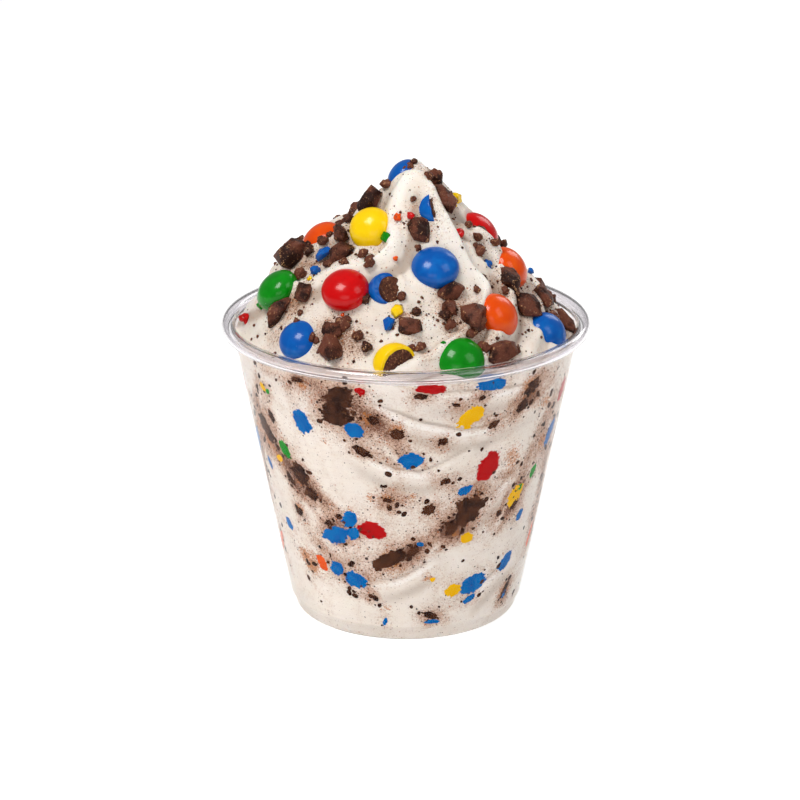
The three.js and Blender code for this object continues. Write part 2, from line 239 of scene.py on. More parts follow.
class Look:
    """A material under construction."""

    def __init__(self, name):
        self.material = bpy.data.materials.new(name)
        self.material.use_nodes = True
        self.tree = self.material.node_tree
        self.tree.nodes.clear()
        self.place = self.node("TexCoord", output="Object")

    def node(self, kind, settings=None, values=None, output=0):
        made = self.tree.nodes.new("ShaderNode" + kind)
        for name, setting in (settings or {}).items():
            setattr(made, name, setting)
        for name, value in (values or {}).items():
            if isinstance(value, Wire):
                self.tree.links.new(value.socket, made.inputs[name])
            else:
                made.inputs[name].default_value = value
        return Wire(self, made.outputs[output])

    def mark(self, name):
        return self.node("Attribute", {"attribute_name": name}, output="Fac")

    def mix(self, share, a, b):
        """Colour a where share is 0 and colour b where it is 1."""
        return self.node("Mix", {"data_type": "RGBA"}, {0: share, 6: a, 7: b}, output=2)

    def noise(self, size, detail=2.0, roughness=0.5, warp=0.0):
        """Noise from 0 to 1 with lumps of the given size in millimetres."""
        values = {"Vector": self.place, "Scale": 1 / (size * MM), "Detail": detail}
        values.update({"Roughness": roughness, "Distortion": warp})
        return self.node("TexNoise", None, values)

    def specks(self, spacing, radius, share):
        """Round specks, one to a cell of the given spacing, kept in a share of the cells."""
        values = {"Vector": self.place, "Scale": 1 / (spacing * MM)}
        distance = self.node("TexVoronoi", None, values)
        random = self.node("TexVoronoi", None, values, output="Color")
        chance, growth = (self.node("SeparateColor", None, {0: random}, output=i) for i in (0, 1))
        size = growth * (radius / spacing) * 0.6 + radius / spacing * 0.5
        kept = (share - chance).between(0.0, 0.02)
        return (size - distance).between(0.0, 0.06) * kept

    def bump(self, height, strength, depth):
        return self.node("Bump", None, {"Height": height, "Strength": strength, "Distance": depth * MM})

    def surface(self, values):
        shader = self.node("BsdfPrincipled", None, values)
        self.end(shader)
        return self.material

    def end(self, shader):
        last = self.tree.nodes.new("ShaderNodeOutputMaterial")
        self.tree.links.new(shader.socket, last.inputs["Surface"])


def colour(code):
    """A shader colour from a six-figure screen colour."""
    parts = [int(code[i:i + 2], 16) / 255 for i in (0, 2, 4)]
    return (*[p / 12.92 if p <= 0.04045 else ((p + 0.055) / 1.055) ** 2.4 for p in parts], 1.0)


print("cream in shader values:", [round(v, 3) for v in colour("F7F1E6")])

# %% [markdown]
# ## The camera, the light and the floor
#
# The picture looks slightly down on the cup with a long lens. The lens and height were found from the
# outline of the cup: its rim is an ellipse whose flatness gives the angle, and its taper gives the
# distance. The scene is a bright studio: a large soft lamp high on the left, weaker ones in front, on the
# right and behind, and a pale sweep all round. What shows behind the cup is brighter than what lights it,
# or the cream would lose its folds.

# %% Camera
PICTURE = 800  # pixels across
FOCAL = 2690  # pixels, from the outline
ELEVATION = math.radians(19.2)
DISTANCE, AIM_HEIGHT = 700, 55.3
CENTRE_PIXEL = 405.8  # the cup stands a little right of the middle
lens = bpy.data.cameras.new("camera")
lens.sensor_width = 36
lens.lens = lens.sensor_width * FOCAL / PICTURE
lens.shift_x = -(CENTRE_PIXEL - PICTURE / 2) / PICTURE
lens.clip_end = 20
camera = bpy.data.objects.new("camera", lens)
back, up = DISTANCE * math.cos(ELEVATION), DISTANCE * math.sin(ELEVATION)
camera.location = Vector((0, -back, AIM_HEIGHT + up)) * MM
camera.rotation_euler = (math.pi / 2 - ELEVATION, 0, 0)
bpy.context.scene.collection.objects.link(camera)
bpy.context.scene.camera = camera
print("lens in mm:", round(lens.lens, 2))

# %% Lamps
def lamp(name, place, size, power, tint=(1, 1, 1)):
    light = bpy.data.lights.new(name, "AREA")
    light.shape, light.size, light.size_y = "RECTANGLE", size[0], size[1]
    light.energy, light.color = power, tint
    thing = bpy.data.objects.new(name, light)
    thing.location = place
    thing.rotation_euler = (Vector((0, 0, 0.07)) - Vector(place)).to_track_quat("-Z", "Y").to_euler()
    bpy.context.scene.collection.objects.link(thing)


lamp("key", (-0.38, -0.36, 0.96), (0.38, 0.38), 7.0, (1, 0.985, 0.97))
lamp("front", (-0.15, -1.1, 0.40), (0.7, 0.4), 1.5, (1, 0.99, 0.98))
lamp("fill", (0.62, -0.42, 0.72), (0.4, 0.5), 1.7, (0.98, 0.98, 1))
lamp("edge", (0.45, 0.65, 0.55), (0.3, 0.5), 1.6, (1, 1, 1))

world = bpy.data.worlds.new("studio")
bpy.context.scene.world = world
world.use_nodes = True
sky = world.node_tree.nodes["Background"]
sky.inputs["Color"].default_value = (1, 0.99, 0.98, 1)
straight = world.node_tree.nodes.new("ShaderNodeLightPath")
strength = world.node_tree.nodes.new("ShaderNodeMapRange")
strength.inputs["To Min"].default_value = 0.24  # what lights the cup
strength.inputs["To Max"].default_value = 1.0  # what shows behind it
world.node_tree.links.new(straight.outputs["Is Camera Ray"], strength.inputs["Value"])
world.node_tree.links.new(strength.outputs[0], sky.inputs["Strength"])
bpy.context.scene.view_settings.view_transform = "Standard"

# %% Floor
paper = Look("pale_paper")
paper_tone = paper.mix(paper.noise(60, 3), colour("B8B7B5"), colour("BCBBB9"))
# The paper glows less for light that has already bounced off something matt.
bounces = paper.node("LightPath", output="Diffuse Depth")
glow = paper.mix(bounces.between(0.0, 1.0), (1, 1, 1, 1), (0.64, 0.64, 0.64, 1))
paper.surface({"Base Color": paper_tone, "Roughness": 0.8, "Specular IOR Level": 0.1,
               "Emission Color": glow, "Emission Strength": 0.78})
HALF_FLOOR = 3000
BELOW_FOOT = -0.1
sheet = bpy.data.meshes.new("floor")
corners = [(x * HALF_FLOOR * MM, y * HALF_FLOOR * MM, BELOW_FOOT * MM)
           for x, y in ((-1, -1), (1, -1), (1, 1), (-1, 1))]
sheet.from_pydata(corners, [], [(0, 1, 2, 3)])
floor = bpy.data.objects.new("floor", sheet)
sheet.materials.append(paper.material)
bpy.context.scene.collection.objects.link(floor)
floor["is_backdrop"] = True

# %% [markdown]
# ## The cup
#
# The real cup is pressed from one thin clear sheet, and its rim is rolled outwards into a hollow bead. It
# is round, so it is made as one outline turned about the axis, with fine steps round the bead, where light
# bends most.
#
# Clear plastic is hard on a path tracer, because lamps can't be found through a surface that bends light.
# The finish lets the rays that look for lamps pass straight on, and bends all others. The rim bends light
# as plastic does. The wall bends it less: seen at a slant it would mirror the pale floor and veil the food
# behind it.

# %% Sizes shared with the solids
RIM_RADIUS, CUP_HEIGHT, BEAD_RADIUS, WALL = 47.5, 78.5, 1.75, 0.7
FOOT_RADIUS, STEP_HEIGHT, FLOOR_RISE = 29.4, 3.9, 1.6
STEP_RADIUS = FOOT_RADIUS + 0.4 + 0.7
BEAD_CENTRE = (RIM_RADIUS - BEAD_RADIUS, CUP_HEIGHT - BEAD_RADIUS)
TAPER = (RIM_RADIUS - 2 * BEAD_RADIUS + WALL - STEP_RADIUS) / (BEAD_CENTRE[1] - STEP_HEIGHT)
GAP = 0.3


def outer_wall(z):
    return STEP_RADIUS + TAPER * (z - STEP_HEIGHT)


def inner_wall(z):
    return outer_wall(z) - WALL


# %% The cup's outline, turned
def arc(centre, radius, start, end, steps):
    angles = np.radians(np.linspace(start, end, steps + 1))
    return [(centre[0] + radius * math.cos(a), centre[1] + radius * math.sin(a)) for a in angles]


def rounded(corners, radius, steps=5):
    """The outline with each inner corner rounded by a short curve."""
    out = [corners[0]]
    for before, corner, after in zip(corners, corners[1:], corners[2:]):
        b, c, a = (np.array(p, float) for p in (before, corner, after))
        into, away = (b - c), (a - c)
        r = min(radius, np.linalg.norm(into) / 2.2, np.linalg.norm(away) / 2.2)
        start, end = c + normed(into) * r, c + normed(away) * r
        for t in np.linspace(0, 1, steps):
            out.append(tuple((1 - t) ** 2 * start + 2 * t * (1 - t) * c + t * t * end))
    return out + [corners[-1]]


def turn_outline(outline, sides):
    """Turns an outline that starts and ends on the axis."""
    angles = np.linspace(0, 2 * math.pi, sides, endpoint=False)
    rings = [ring(r, angles, z) for r, z in outline[1:-1]]
    ends = [np.array([[0, 0, outline[i][1]]]) for i in (0, -1)]
    return np.concatenate([ends[0], *rings, ends[1]]), turned(len(rings), sides)


floor_top = FLOOR_RISE + WALL
inside = [(0.0, floor_top), (10, floor_top), (24.8, floor_top), (26.2, 0.75), (27.9, 0.75), (28.7, 1.6),
          (29.1, 3.5), (inner_wall(STEP_HEIGHT), STEP_HEIGHT)]
inside += [(inner_wall(z), z) for z in (6, 20, 40, 60, 70)]
outside = [(outer_wall(z), z) for z in (70, 60, 40, 20, 6, STEP_HEIGHT)]
outside += [(29.8, 3.4), (29.4, 1.3), (29, 0.4), (28.1, 0), (25.4, 0), (24.2, FLOOR_RISE), (10, FLOOR_RISE),
            (0.0, FLOOR_RISE)]
outline = rounded(inside + [(inner_wall(74.5), 74.5)], 0.4)
ROLL_END = -112
outline += arc(BEAD_CENTRE, BEAD_RADIUS, 180, ROLL_END, 48)
outline += arc(BEAD_CENTRE, BEAD_RADIUS - WALL + 0.05, ROLL_END, 180, 30)
outline += rounded([(outer_wall(74.5), 74.5)] + outside, 0.4)
CUP_SIDES = 288
cup_points, cup_faces = turn_outline(outline, CUP_SIDES)
print("outline of the cup:", len(outline), "points")

# %% Clear plastic
def plastic(name, bending, tones):
    """Clear plastic with faint lines drawn round it, as the rolling leaves them."""
    look = Look(name)
    x, y, z = (look.node("SeparateXYZ", None, {0: look.place}, output=axis) for axis in "XYZ")
    distance = look.node("Math", {"operation": "SQRT"}, {0: x * x + y * y})
    drawn_round = look.node("CombineXYZ", None, {0: distance * 2600, 1: z * 2600, 2: x * 14})
    lines = look.node("TexNoise", None, {"Vector": drawn_round, "Scale": 1.0, "Detail": 2.0})
    cloudy = look.noise(9, 2)
    clear = look.node("BsdfPrincipled", None, {
        "Base Color": look.mix(lines.between(0.35, 0.65), *(colour(tone) for tone in tones)), "IOR": bending,
        "Roughness": cloudy * 0.03 + 0.015, "Specular IOR Level": 0.25, "Transmission Weight": 1.0})
    open_way = look.node("BsdfTransparent", None, {"Color": colour("F6F6F8")})
    lamp_ray = look.node("LightPath", output="Is Shadow Ray")
    look.end(look.node("MixShader", None, {0: lamp_ray, 1: clear, 2: open_way}))
    return look.material


rim_plastic = plastic("clear_plastic_rim", bending=1.46, tones=("E2DFE3", "FCFAFC"))
wall_plastic = plastic("clear_plastic_wall", bending=1.16, tones=("F8F7FA", "FDFDFE"))
cup = make_piece("clear_cup", cup_points, cup_faces, rim_plastic, replaces=("cup",))
cup.data.materials.append(wall_plastic)
ROLLED_FROM = CUP_HEIGHT - 2 * BEAD_RADIUS - 1
for face in cup.data.polygons:
    face.material_index = int(face.center.z < ROLLED_FROM * MM)

# %% [markdown]
# ## The heap
#
# Blended ice cream is spooned in soft and turned with a spatula, so its top is a peak with crests that
# swing round it like a slack flag. The source of the solids describes that as a cone with eight folds. The
# same formula is used here, on a mesh with far more points, so each topping keeps its place on it. Finer
# folds and a soft grain are added on top.

# %% The surface of the heap
TIP_HEIGHT, TIP_OFFSET, HEAP_SLOPE, NECK, SWELL, TIP_ROUND = 119.3, 2.4, 1.03, 2.4, 5.0, 2.5
HEAP_RADIUS = inner_wall(76) - GAP
# Azimuth and radius of each fold's turn, its swing inside and outside it, its height and its width.
FOLDS = [(-48, 29, 55, 52, 1.9, 3.2), (-29, 29, 80, 46, 1.5, 2.8), (-7, 32, 84, 44, 1.2, 2.8),
         (38, 25, 50, 70, 1.8, 3.6), (92, 22, 46, 80, 1.7, 3.2), (146, 24, 44, 76, 1.6, 3.6),
         (200, 22, 40, 60, 1.4, 3.0), (256, 20, 34, 92, 2.0, 3.4)]


def heap_polar(x, y):
    lean = TIP_OFFSET * np.maximum(0, 1 - np.hypot(x, y) / HEAP_RADIUS)
    return np.hypot(x - lean, y), np.arctan2(y, x - lean)


def fold_place(fold, r, azimuth):
    """How far across a fold's crest each point lies, in widths of the fold."""
    turn_azimuth, turn_radius, swing_in, swing_back, _, width = fold
    inner = np.maximum(0, 1 - r / turn_radius)
    outer = np.maximum(0, (r - turn_radius) / (HEAP_RADIUS - turn_radius))
    swing = swing_in * inner ** 1.5 + swing_back * outer ** 1.3
    angle = azimuth - np.radians(turn_azimuth - swing)
    across = r * np.arctan2(np.sin(angle), np.cos(angle))
    return across / (1 + 1.2 * inner + 1.1 * outer) / width


def heap(x, y):
    """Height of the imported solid's heap over points of the cup's plan."""
    r, azimuth = heap_polar(x, y)
    cone = TIP_HEIGHT - HEAP_SLOPE * (np.hypot(r, TIP_ROUND) - TIP_ROUND) - NECK * smooth(0, 9, r)
    left = smooth(-0.2, 0.9, -np.cos(azimuth))
    swell = SWELL * left * smooth(12, 32, r) * (1 - smooth(35, 46, r))
    relief = sum(f[4] * hump(fold_place(f, r, azimuth), 0, 1) for f in FOLDS) - 0.9
    fade = smooth(2, 10, r) * (1 - 0.75 * smooth(34, 42, r))
    ripple = 0.35 * np.sin(0.31 * x + 1.7 * np.sin(0.17 * y)) + 0.3 * np.sin(0.37 * y + 0.8 - 0.12 * x)
    return cone + swell + fade * (relief + ripple)


# Short crests of their own, as points of the cup's plan, with their height, their width, and the side on
# which they drop away steeply: 1 is the left of somebody who walks along the points, and -1 is the right.
RIDGES = [
    ([(14.5, -27.2), (11.2, -29.1), (8.3, -31.2), (5.3, -33), (1.9, -34.3), (-1.4, -35), (-4.3, -35.2)],
     1.7, 2.2, 1),
    ([(-2.7, -25.2), (1.5, -25.1), (5.4, -25.2), (7.8, -26.3)], 1.3, 2.0, -1),
    ([(17.1, -30.1), (19.7, -29.2), (22.2, -29.9)], 1.1, 1.9, -1),
    ([(-0.3, -16.9), (-3.4, -18.9), (-6.7, -19.9), (-10.7, -20), (-14.9, -20.2), (-19.8, -18.3),
      (-24.2, -16.6)], 1.7, 2.2, 1),
    ([(16.5, -10.5), (19.5, -9.5), (22.2, -9.6), (24, -10.8), (24.6, -13)], 4.2, 2.2, -1),
    ([(3.4, -2.1), (2.3, -5.4), (-1, -8.2), (-3.5, -9.9)], 1.6, 1.6, -1),
    ([(7.5, -14.2), (10.8, -15.4), (13.9, -15), (16.4, -14.7), (18.4, -14.9), (19.9, -15.8), (20.6, -17.5),
      (20.3, -21.7)], 1.8, 2.0, 1),
    ([(26.7, -8.2), (29, -7.1), (30.6, -7.3)], 1.2, 1.8, -1),
    ([(-2.6, -29.5), (-6.8, -28.2), (-11.2, -28), (-15.6, -28.3)], 1.0, 2.1, 1),
    ([(6.6, -3.5), (8.6, -7.3), (10, -10.9)], 1.2, 1.6, 1)]


def ridge_height(x, y, line, tall, wide, steep_side):
    best, run, side = np.full(len(x), 1e9), np.zeros(len(x)), np.ones(len(x))
    for i, (a, b) in enumerate(zip(line, line[1:])):
        step = np.array(b) - np.array(a)
        t = np.clip(((x - a[0]) * step[0] + (y - a[1]) * step[1]) / (step @ step), 0, 1)
        u, v = x - a[0] - t * step[0], y - a[1] - t * step[1]
        d = np.hypot(u, v)
        run = np.where(d < best, (i + t) / (len(line) - 1), run)
        side = np.where(d < best, np.sign(step[0] * v - step[1] * u), side)
        best = np.minimum(best, d)
    taper = 0.3 + 0.7 * np.sin(math.pi * run) ** 0.6
    steep = side * steep_side > 0
    crest = hump(best, 0, np.where(steep, 0.75 * wide, 1.5 * wide))
    dip = np.where(steep, 0.45, 0.1) * hump(best, 1.7 * wide, 0.7 * wide)
    return tall * taper * (crest - dip)


def fine_heap(x, y):
    """The same heap with crisper crests, finer folds beside them and a soft unevenness."""
    r, azimuth = heap_polar(x, y)
    fade = smooth(3, 11, r) * (1 - 0.6 * smooth(36, 43, r))
    crisp = np.zeros_like(r)
    for i, fold in enumerate(FOLDS):
        d = fold_place(fold, r, azimuth) * (-1 if i == len(FOLDS) - 1 else 1)
        sheet = hump(np.minimum(d - 0.2, 0), 0, 1.5) * (1 - smooth(0.2, 0.7, d))
        crease = hump(d, 0.95, 0.42)
        crisp += (1.6 if i < 3 else 1.15) * fold[4] * (0.72 * sheet - 0.6 * crease)
    for ridge in RIDGES:
        crisp += ridge_height(x, y, *ridge)
    flat = np.stack([x, y, np.zeros_like(x)], 1)
    lumps = 0.22 * noise(flat, 5.5, 1) + 0.13 * noise(flat, 2.4, 2) + 0.05 * noise(flat, 1.1, 3)
    return heap(x, y) + fade * crisp + lumps * smooth(1, 5, r)


tip = heap(np.array([TIP_OFFSET]), np.array([0.0]))[0]
print("height of the peak in mm:", round(float(tip), 1))

# %% [markdown]
# ## Where the toppings lie
#
# Each topping is settled on the slope by the same rule as its solid: a place on the heap, the way its flat
# side faces, and how far it stands proud. The tables repeat the source's own rounded values. The front ones
# were read off the picture, and the back ones follow the same density.

# %% Tables of toppings
# Whole candies: colour, azimuth, distance from the axis, diameter, lift, and the way the flat faces.
CANDIES = [
    ("blue", 166, 2, 9.4, -1.7, (176, 40)), ("yellow", -127.5, 13.5, 11.2, 0.8, (-110, 32)),
    ("orange", -179, 21.2, 11.8, 0.3, (-160, 48)), ("green", -156, 34.9, 11.8, 0.5, (-168, 48)),
    ("red", -121, 28.9, 12, 0.6, (-105, 58)), ("blue", -70.5, 21.4, 12, 0.5, (-88, 56)),
    ("orange", -46.7, 33.2, 11.6, 0.2, (-32, 32)), ("green", -69.8, 39.2, 12.2, -0.8, (-80, 42)),
    ("blue", -132.7, 39.2, 11, -1.1, (-115, 50)), ("blue", -23.5, 39.2, 11, -0.6, (-40, 36)),
    ("red", 1, 18.6, 11.8, 0, (-6, 43)), ("orange", -14.7, 27, 11.6, 0, (-10, 36)),
    ("green", 52, 28, 12, 0.1, (58, 40)), ("yellow", 70, 38, 12.2, -0.4, (60, 48)),
    ("red", 88, 19, 11.8, 0.2, (96, 52)), ("blue", 104, 34, 12.2, 0.2, (112, 45)),
    ("orange", 120, 19.5, 12, -0.3, (112, 42)), ("green", 136, 38, 12, -0.4, (142, 50))]
CANDY_FATNESS = 0.69  # thickness over diameter
# Broken candies: as above, then the way the break faces, its distance from the middle, and how far to the
# right the core shows bare beside its shell.
BROKEN = [
    ("yellow", -93.8, 40, 11, 0, (-100, 28), (-64, 4), 1, 0),
    ("blue", -101.4, 25.8, 8.6, 0.8, (-108, 48), (-58, 36), 0.5, 0.9),
    ("blue", -60.4, 13.2, 8.8, 0.6, (-118, 34), (-14, 20), 0.4, 0.1)]
SHELL = 0.9
CORE_PROUD = 0.45  # how far the core stands out of its broken shell


def direction(azimuth, elevation):
    a, e = math.radians(azimuth), math.radians(elevation)
    return np.array([math.cos(e) * math.cos(a), math.cos(e) * math.sin(a), math.sin(e)])


def heap_spot(azimuth, r):
    """Place and outward normal on the heap."""
    x, y = r * math.cos(math.radians(azimuth)), r * math.sin(math.radians(azimuth))
    reach = 2.5
    xs = np.array([x, x + reach, x - reach, x, x])
    ys = np.array([y, y, y, y + reach, y - reach])
    z = heap(xs, ys)
    normal = np.array([(z[2] - z[1]) / (2 * reach), (z[4] - z[3]) / (2 * reach), 1])
    return np.array([x, y, z[0]]), normed(normal)


def settle(azimuth, r, lift, face):
    """Place of a topping's middle, and its three axes as columns."""
    point, normal = heap_spot(azimuth, r)
    up = direction(*face)
    side = normed(np.cross(up, direction(azimuth, -20)))
    along = np.cross(side, up)
    across = np.cross(up, along)
    return point + normal * lift, np.stack([along, across, up], 1)


def lens_radii(diameter):
    return np.array([diameter / 2, diameter / 2, diameter * CANDY_FATNESS / 2])


def lens_reach(points, centre, axes, diameter):
    """About how far each point lies outside a candy, in millimetres."""
    local = (points - centre) @ axes / lens_radii(diameter)
    length = np.linalg.norm(local, axis=1) + 1e-9
    return (length - 1) * np.linalg.norm(points - centre, axis=1) / length


candy_places = [(c[0], *settle(c[1], c[2], c[4], c[5]), c[3]) for c in CANDIES + [b[:6] for b in BROKEN]]
chunk_names = sorted((n for n in nodes if n.startswith("chunk_")), key=lambda n: int(n.split("_")[1]))
shard_names = sorted(n for n in nodes if n.startswith("shard_"))


def node_mesh(name):
    mesh = nodes[name].data
    points = np.array([v.co for v in mesh.vertices], float) / MM
    return points, [list(p.vertices) for p in mesh.polygons]


chunk_places = []
for name in chunk_names:
    points, _ = node_mesh(name)
    low, high = points.min(0), points.max(0)
    chunk_places.append(((low + high) / 2, float(np.linalg.norm(high - low)) / 2))
print("candies placed:", len(candy_places), "chunks found:", len(chunk_places))

# %% [markdown]
# ## What shows through the wall
#
# The ice cream was stirred in the cup, so candies, broken shell and chocolate are smeared flat against the
# clear wall, in festoons that sag towards the front. Each one is a real form whose outer face follows the
# wall. It stands proud of the ice cream by a tenth of a millimetre or two and is uneven, so that the cream
# laps over its edge in places and leaves the ragged outline that the real ones have.

# %% Table of pieces against the wall
# By kind: azimuth, height, length, breadth, and tilt in degrees.
AGAINST_WALL = {
    "chocolate": [
        (-113, 69.6, 10, 7.6, 7), (-114, 64.9, 10.4, 8, 17), (-93, 60.7, 4.2, 3.6, 0),
        (-101, 64.3, 3, 2.5, 5), (-106, 55.3, 5.9, 2.6, -24), (-134, 45, 8.6, 6, -48),
        (-130, 40.2, 5.6, 4.2, -20), (-152, 54.3, 11, 5.6, -52), (-128, 72.5, 4.8, 1.9, 4),
        (-75, 46.8, 3.5, 2, -12), (-81, 39.1, 4.3, 3.4, 37), (-65, 37.5, 10.4, 9, 50),
        (-46, 64.4, 4.9, 3.6, 30), (-85, 71.2, 4.2, 1.9, -3), (-97, 24.5, 12.4, 5.4, 35),
        (-123, 32.9, 2.9, 1.9, 13), (-139, 33.5, 3.2, 3, -20), (-77, 58, 2.7, 2, 7),
        (-72, 31.8, 2.9, 2.1, 3), (-97, 41.8, 3, 1.4, 1), (-64, 69.3, 2.1, 1.6, 11),
        (-73, 68.1, 2.1, 1.4, -7), (-58, 61, 2.5, 2.1, -12), (-41, 35.5, 3.6, 2.4, 53),
        (-146, 59.1, 4.6, 2.6, -70), (-106, 13, 2.3, 1.6, -30), (-78, 7.4, 5.6, 2.3, -22),
        (-43, 68.8, 7, 3.6, 45), (-71, 32.9, 4.4, 3.6, 40), (-87, 27, 5.4, 2.8, 54), (-35, 9.5, 6, 2, 58),
        (-101, 64.5, 3.9, 2.6, -8), (-141, 42.7, 5.5, 2, -53)],
    "blue": [
        (-129, 61, 8, 6.4, -52), (-108, 61, 6.4, 5.2, -16), (-88, 53.3, 7.6, 4.9, 4), (-61, 73, 10, 4, -8),
        (-22, 52, 9.5, 4.6, 62), (-67, 43.5, 4.6, 3, 26), (-35, 31.4, 4.4, 2.8, 58),
        (-113, 35.1, 6.4, 4.8, 68), (-121, 29.8, 9.2, 5.4, 18), (-112, 31.2, 4.4, 4.4, 8),
        (-113, 17.4, 7.4, 5.6, -20), (-122, 19.7, 5.4, 4.6, 62), (-39, 18.8, 6.6, 4.2, 52),
        (-58, 15.4, 9.4, 6, 28), (-59, 10.6, 4.6, 1.9, 28), (-156, 43.8, 4.4, 2.4, -60),
        (-149, 27.9, 4.4, 3, -58), (-84, 29, 2.3, 1.5, -4), (-77, 5.6, 4.8, 1.5, -1),
        (-35, 8.4, 3.4, 2, 54), (-100, 5.8, 3.2, 1.3, 71)],
    "red": [
        (-82, 73.2, 9, 3.2, -4), (-105, 72.1, 3.7, 2.4, -7), (-58, 49.2, 10.2, 7, 58),
        (-104, 32.7, 9.2, 5.8, -11), (-18, 62.8, 8, 5, 70)],
    "yellow": [
        (-67, 64.5, 9, 5.6, 28), (-148, 66.7, 3.6, 2.4, -40), (-146, 47.2, 3.4, 2.3, 17),
        (-41, 38.3, 8.4, 5.4, 60), (-64, 29.6, 4.2, 3.6, -11), (-68, 14.3, 5.2, 4.8, -11),
        (-78, 18.3, 1.8, 1.7, -5)],
    "green": [
        (-141, 50.7, 5.8, 4.4, -54), (-145, 66, 2.4, 1.6, 16), (-39, 39.8, 3, 2.2, 52),
        (-31, 43, 4.6, 2.6, 56)],
    "orange": [
        (-130, 20.1, 6, 3.4, -60), (-18, 22.2, 9, 3, 74)]}
# Brown streaks and soft crests of ice cream on the wall, as azimuth and height of points on each line.
STREAKS = [
    [(-122, 67.6), (-111, 65.2), (-99, 59.9), (-83, 49.3)], [(-104, 41.1), (-85, 42.7)],
    [(-170, 64), (-156, 53.5), (-141, 46.6), (-129, 39.8), (-118, 32.8), (-107, 27.2)],
    [(-32, 69.1), (-45, 65.6), (-52, 59.3)], [(-38, 46.6), (-54, 45.5), (-66, 35), (-77, 30.8), (-95, 22.5)],
    [(-141, 28.9), (-122, 24.6), (-113, 17.7), (-103, 10.5)], [(-41, 43), (-46, 35), (-52, 27.3)],
    [(-38, 7.1), (-20, 10.5)], [(-150, 74), (-128, 73), (-112, 71)],
    [(-182, 72), (-174, 55), (-168, 38), (-164, 20), (-160, 8)], [(-6, 70), (-12, 50), (-18, 32), (-22, 14)],
    [(-24, 66), (-30, 55), (-36, 44), (-42, 33)], [(-147, 24), (-138, 16), (-124, 10)]]
# Golden smudges, where shell and chocolate have bled into the cream: azimuth, height and radius.
GOLDEN = [
    (-103, 64.5, 2.4), (-119.8, 56.9, 1.4), (-103.6, 42.3, 1.6), (-97.5, 42.3, 1.8), (-87.3, 43.3, 1.4),
    (-98.2, 10.1, 1.5), (-138.7, 34.6, 2.4), (-43.6, 69.3, 4.4), (-46.6, 50.2, 4.2), (-146.3, 47.2, 2.6),
    (-160.2, 53.5, 3.4), (-106.8, 60.6, 1.8), (-141.7, 20.4, 3.2), (-135, 18.4, 3.4), (-79.9, 18.8, 1.6),
    (-35.4, 9.5, 2.8), (-134.3, 43.5, 2.6), (-92.6, 61.8, 2.6), (-62.5, 40.4, 2.4), (-112.3, 36.7, 2.0),
    (-152, 51, 3.0), (-69.7, 31, 1.8), (-32.4, 63.1, 3.2), (-28.6, 51.1, 3.4), (-126, 71, 2.6),
    (-97, 24, 4.0)]
CRESTS = [
    [(-105, 70.4), (-97, 67.5), (-84, 63.4), (-71, 60.7), (-62, 60.8), (-51, 62.5), (-32, 65.3)],
    [(-86, 71.7), (-70, 70.8), (-53, 70), (-32, 69.1)],
    [(-108, 56.8), (-101, 52.2), (-94, 49.6), (-85, 49), (-78, 51.6), (-68, 54.8)],
    [(-124, 25.3), (-112, 28.8)], [(-108, 15.6), (-96, 17.7), (-84, 21.6), (-77, 23.9)],
    [(-70, 33.7), (-58, 38.3), (-39, 48.4)], [(-63, 9), (-50, 14), (-34, 20)]]
FRONT, BACK = (-170, -20), (-20, 190)


def behind(azimuth):
    """The azimuth at the back that answers to one at the front."""
    return BACK[0] + (azimuth - FRONT[0]) * (BACK[1] - BACK[0]) / (FRONT[1] - FRONT[0])


in_front = [(kind, *row) for kind, rows in AGAINST_WALL.items() for row in rows]
wall_pieces = list(in_front)
for i, (kind, azimuth, z, width, height, tilt) in enumerate(in_front):
    grow = 0.8 + 0.45 * draw(i, 1)
    there = behind(azimuth) + 14 * (draw(i, 2) - 0.5)
    level = min(72, max(6, z + 12 * (draw(i, 3) - 0.5)))
    tilted = tilt + 40 * (draw(i, 4) - 0.5)
    wall_pieces.append((kind, there, level, width * grow, height * grow, tilted))
streaks = STREAKS + [[(behind(a), z + 3) for a, z in line] for line in STREAKS]
crests = CRESTS + [[(behind(a), z - 4) for a, z in line] for line in CRESTS]
golden = GOLDEN + [(behind(a), z, radius) for a, z, radius in GOLDEN]
print("pieces against the wall:", len(wall_pieces))

# %% [markdown]
# ## The ice cream
#
# The body is one skin: rings spread over the heap from the axis to the wall, then rings that go down the
# wall and under. It touches the plastic, a tenth of a millimetre into it, so no film of air shows. Round
# each topping the surface is pushed up in a low lip, as soft ice cream is when something is pressed in.
# Marks on the points say how dusty the cream is with chocolate, and where its folds get painted shade and
# highlight.

# %% Distances over the wall
def along_wall(azimuth, start, radius):
    """How far round the wall one azimuth lies from another, in millimetres."""
    return (np.remainder(azimuth - start + 180, 360) - 180) * math.pi / 180 * radius


def line_distance(azimuth, z, line):
    """Distance to a line on the wall and place along it in mm, its side, and a taper to 0 at its ends."""
    radius = inner_wall(45)
    best = np.full(len(z), 1e9)
    side = np.zeros(len(z))
    run = np.zeros(len(z))
    along = np.zeros(len(z))
    done = 0.0
    for i, ((a0, z0), (a1, z1)) in enumerate(zip(line, line[1:])):
        turn = np.radians(a1 - a0) * radius
        u = along_wall(azimuth, a0, radius)
        v = z - z0
        length2 = turn ** 2 + (z1 - z0) ** 2
        t = np.clip((u * turn + v * (z1 - z0)) / length2, 0, 1)
        d = np.hypot(u - t * turn, v - t * (z1 - z0))
        s = np.sign(turn * v - (z1 - z0) * u) * (1 if turn > 0 else -1)
        side = np.where(d < best, s, side)
        run = np.where(d < best, (i + t) / (len(line) - 1), run)
        along = np.where(d < best, done + t * math.sqrt(length2), along)
        best = np.minimum(best, d)
        done += math.sqrt(length2)
    return best, along, side, np.sin(math.pi * np.clip(run, 0.02, 0.98)) ** 0.5


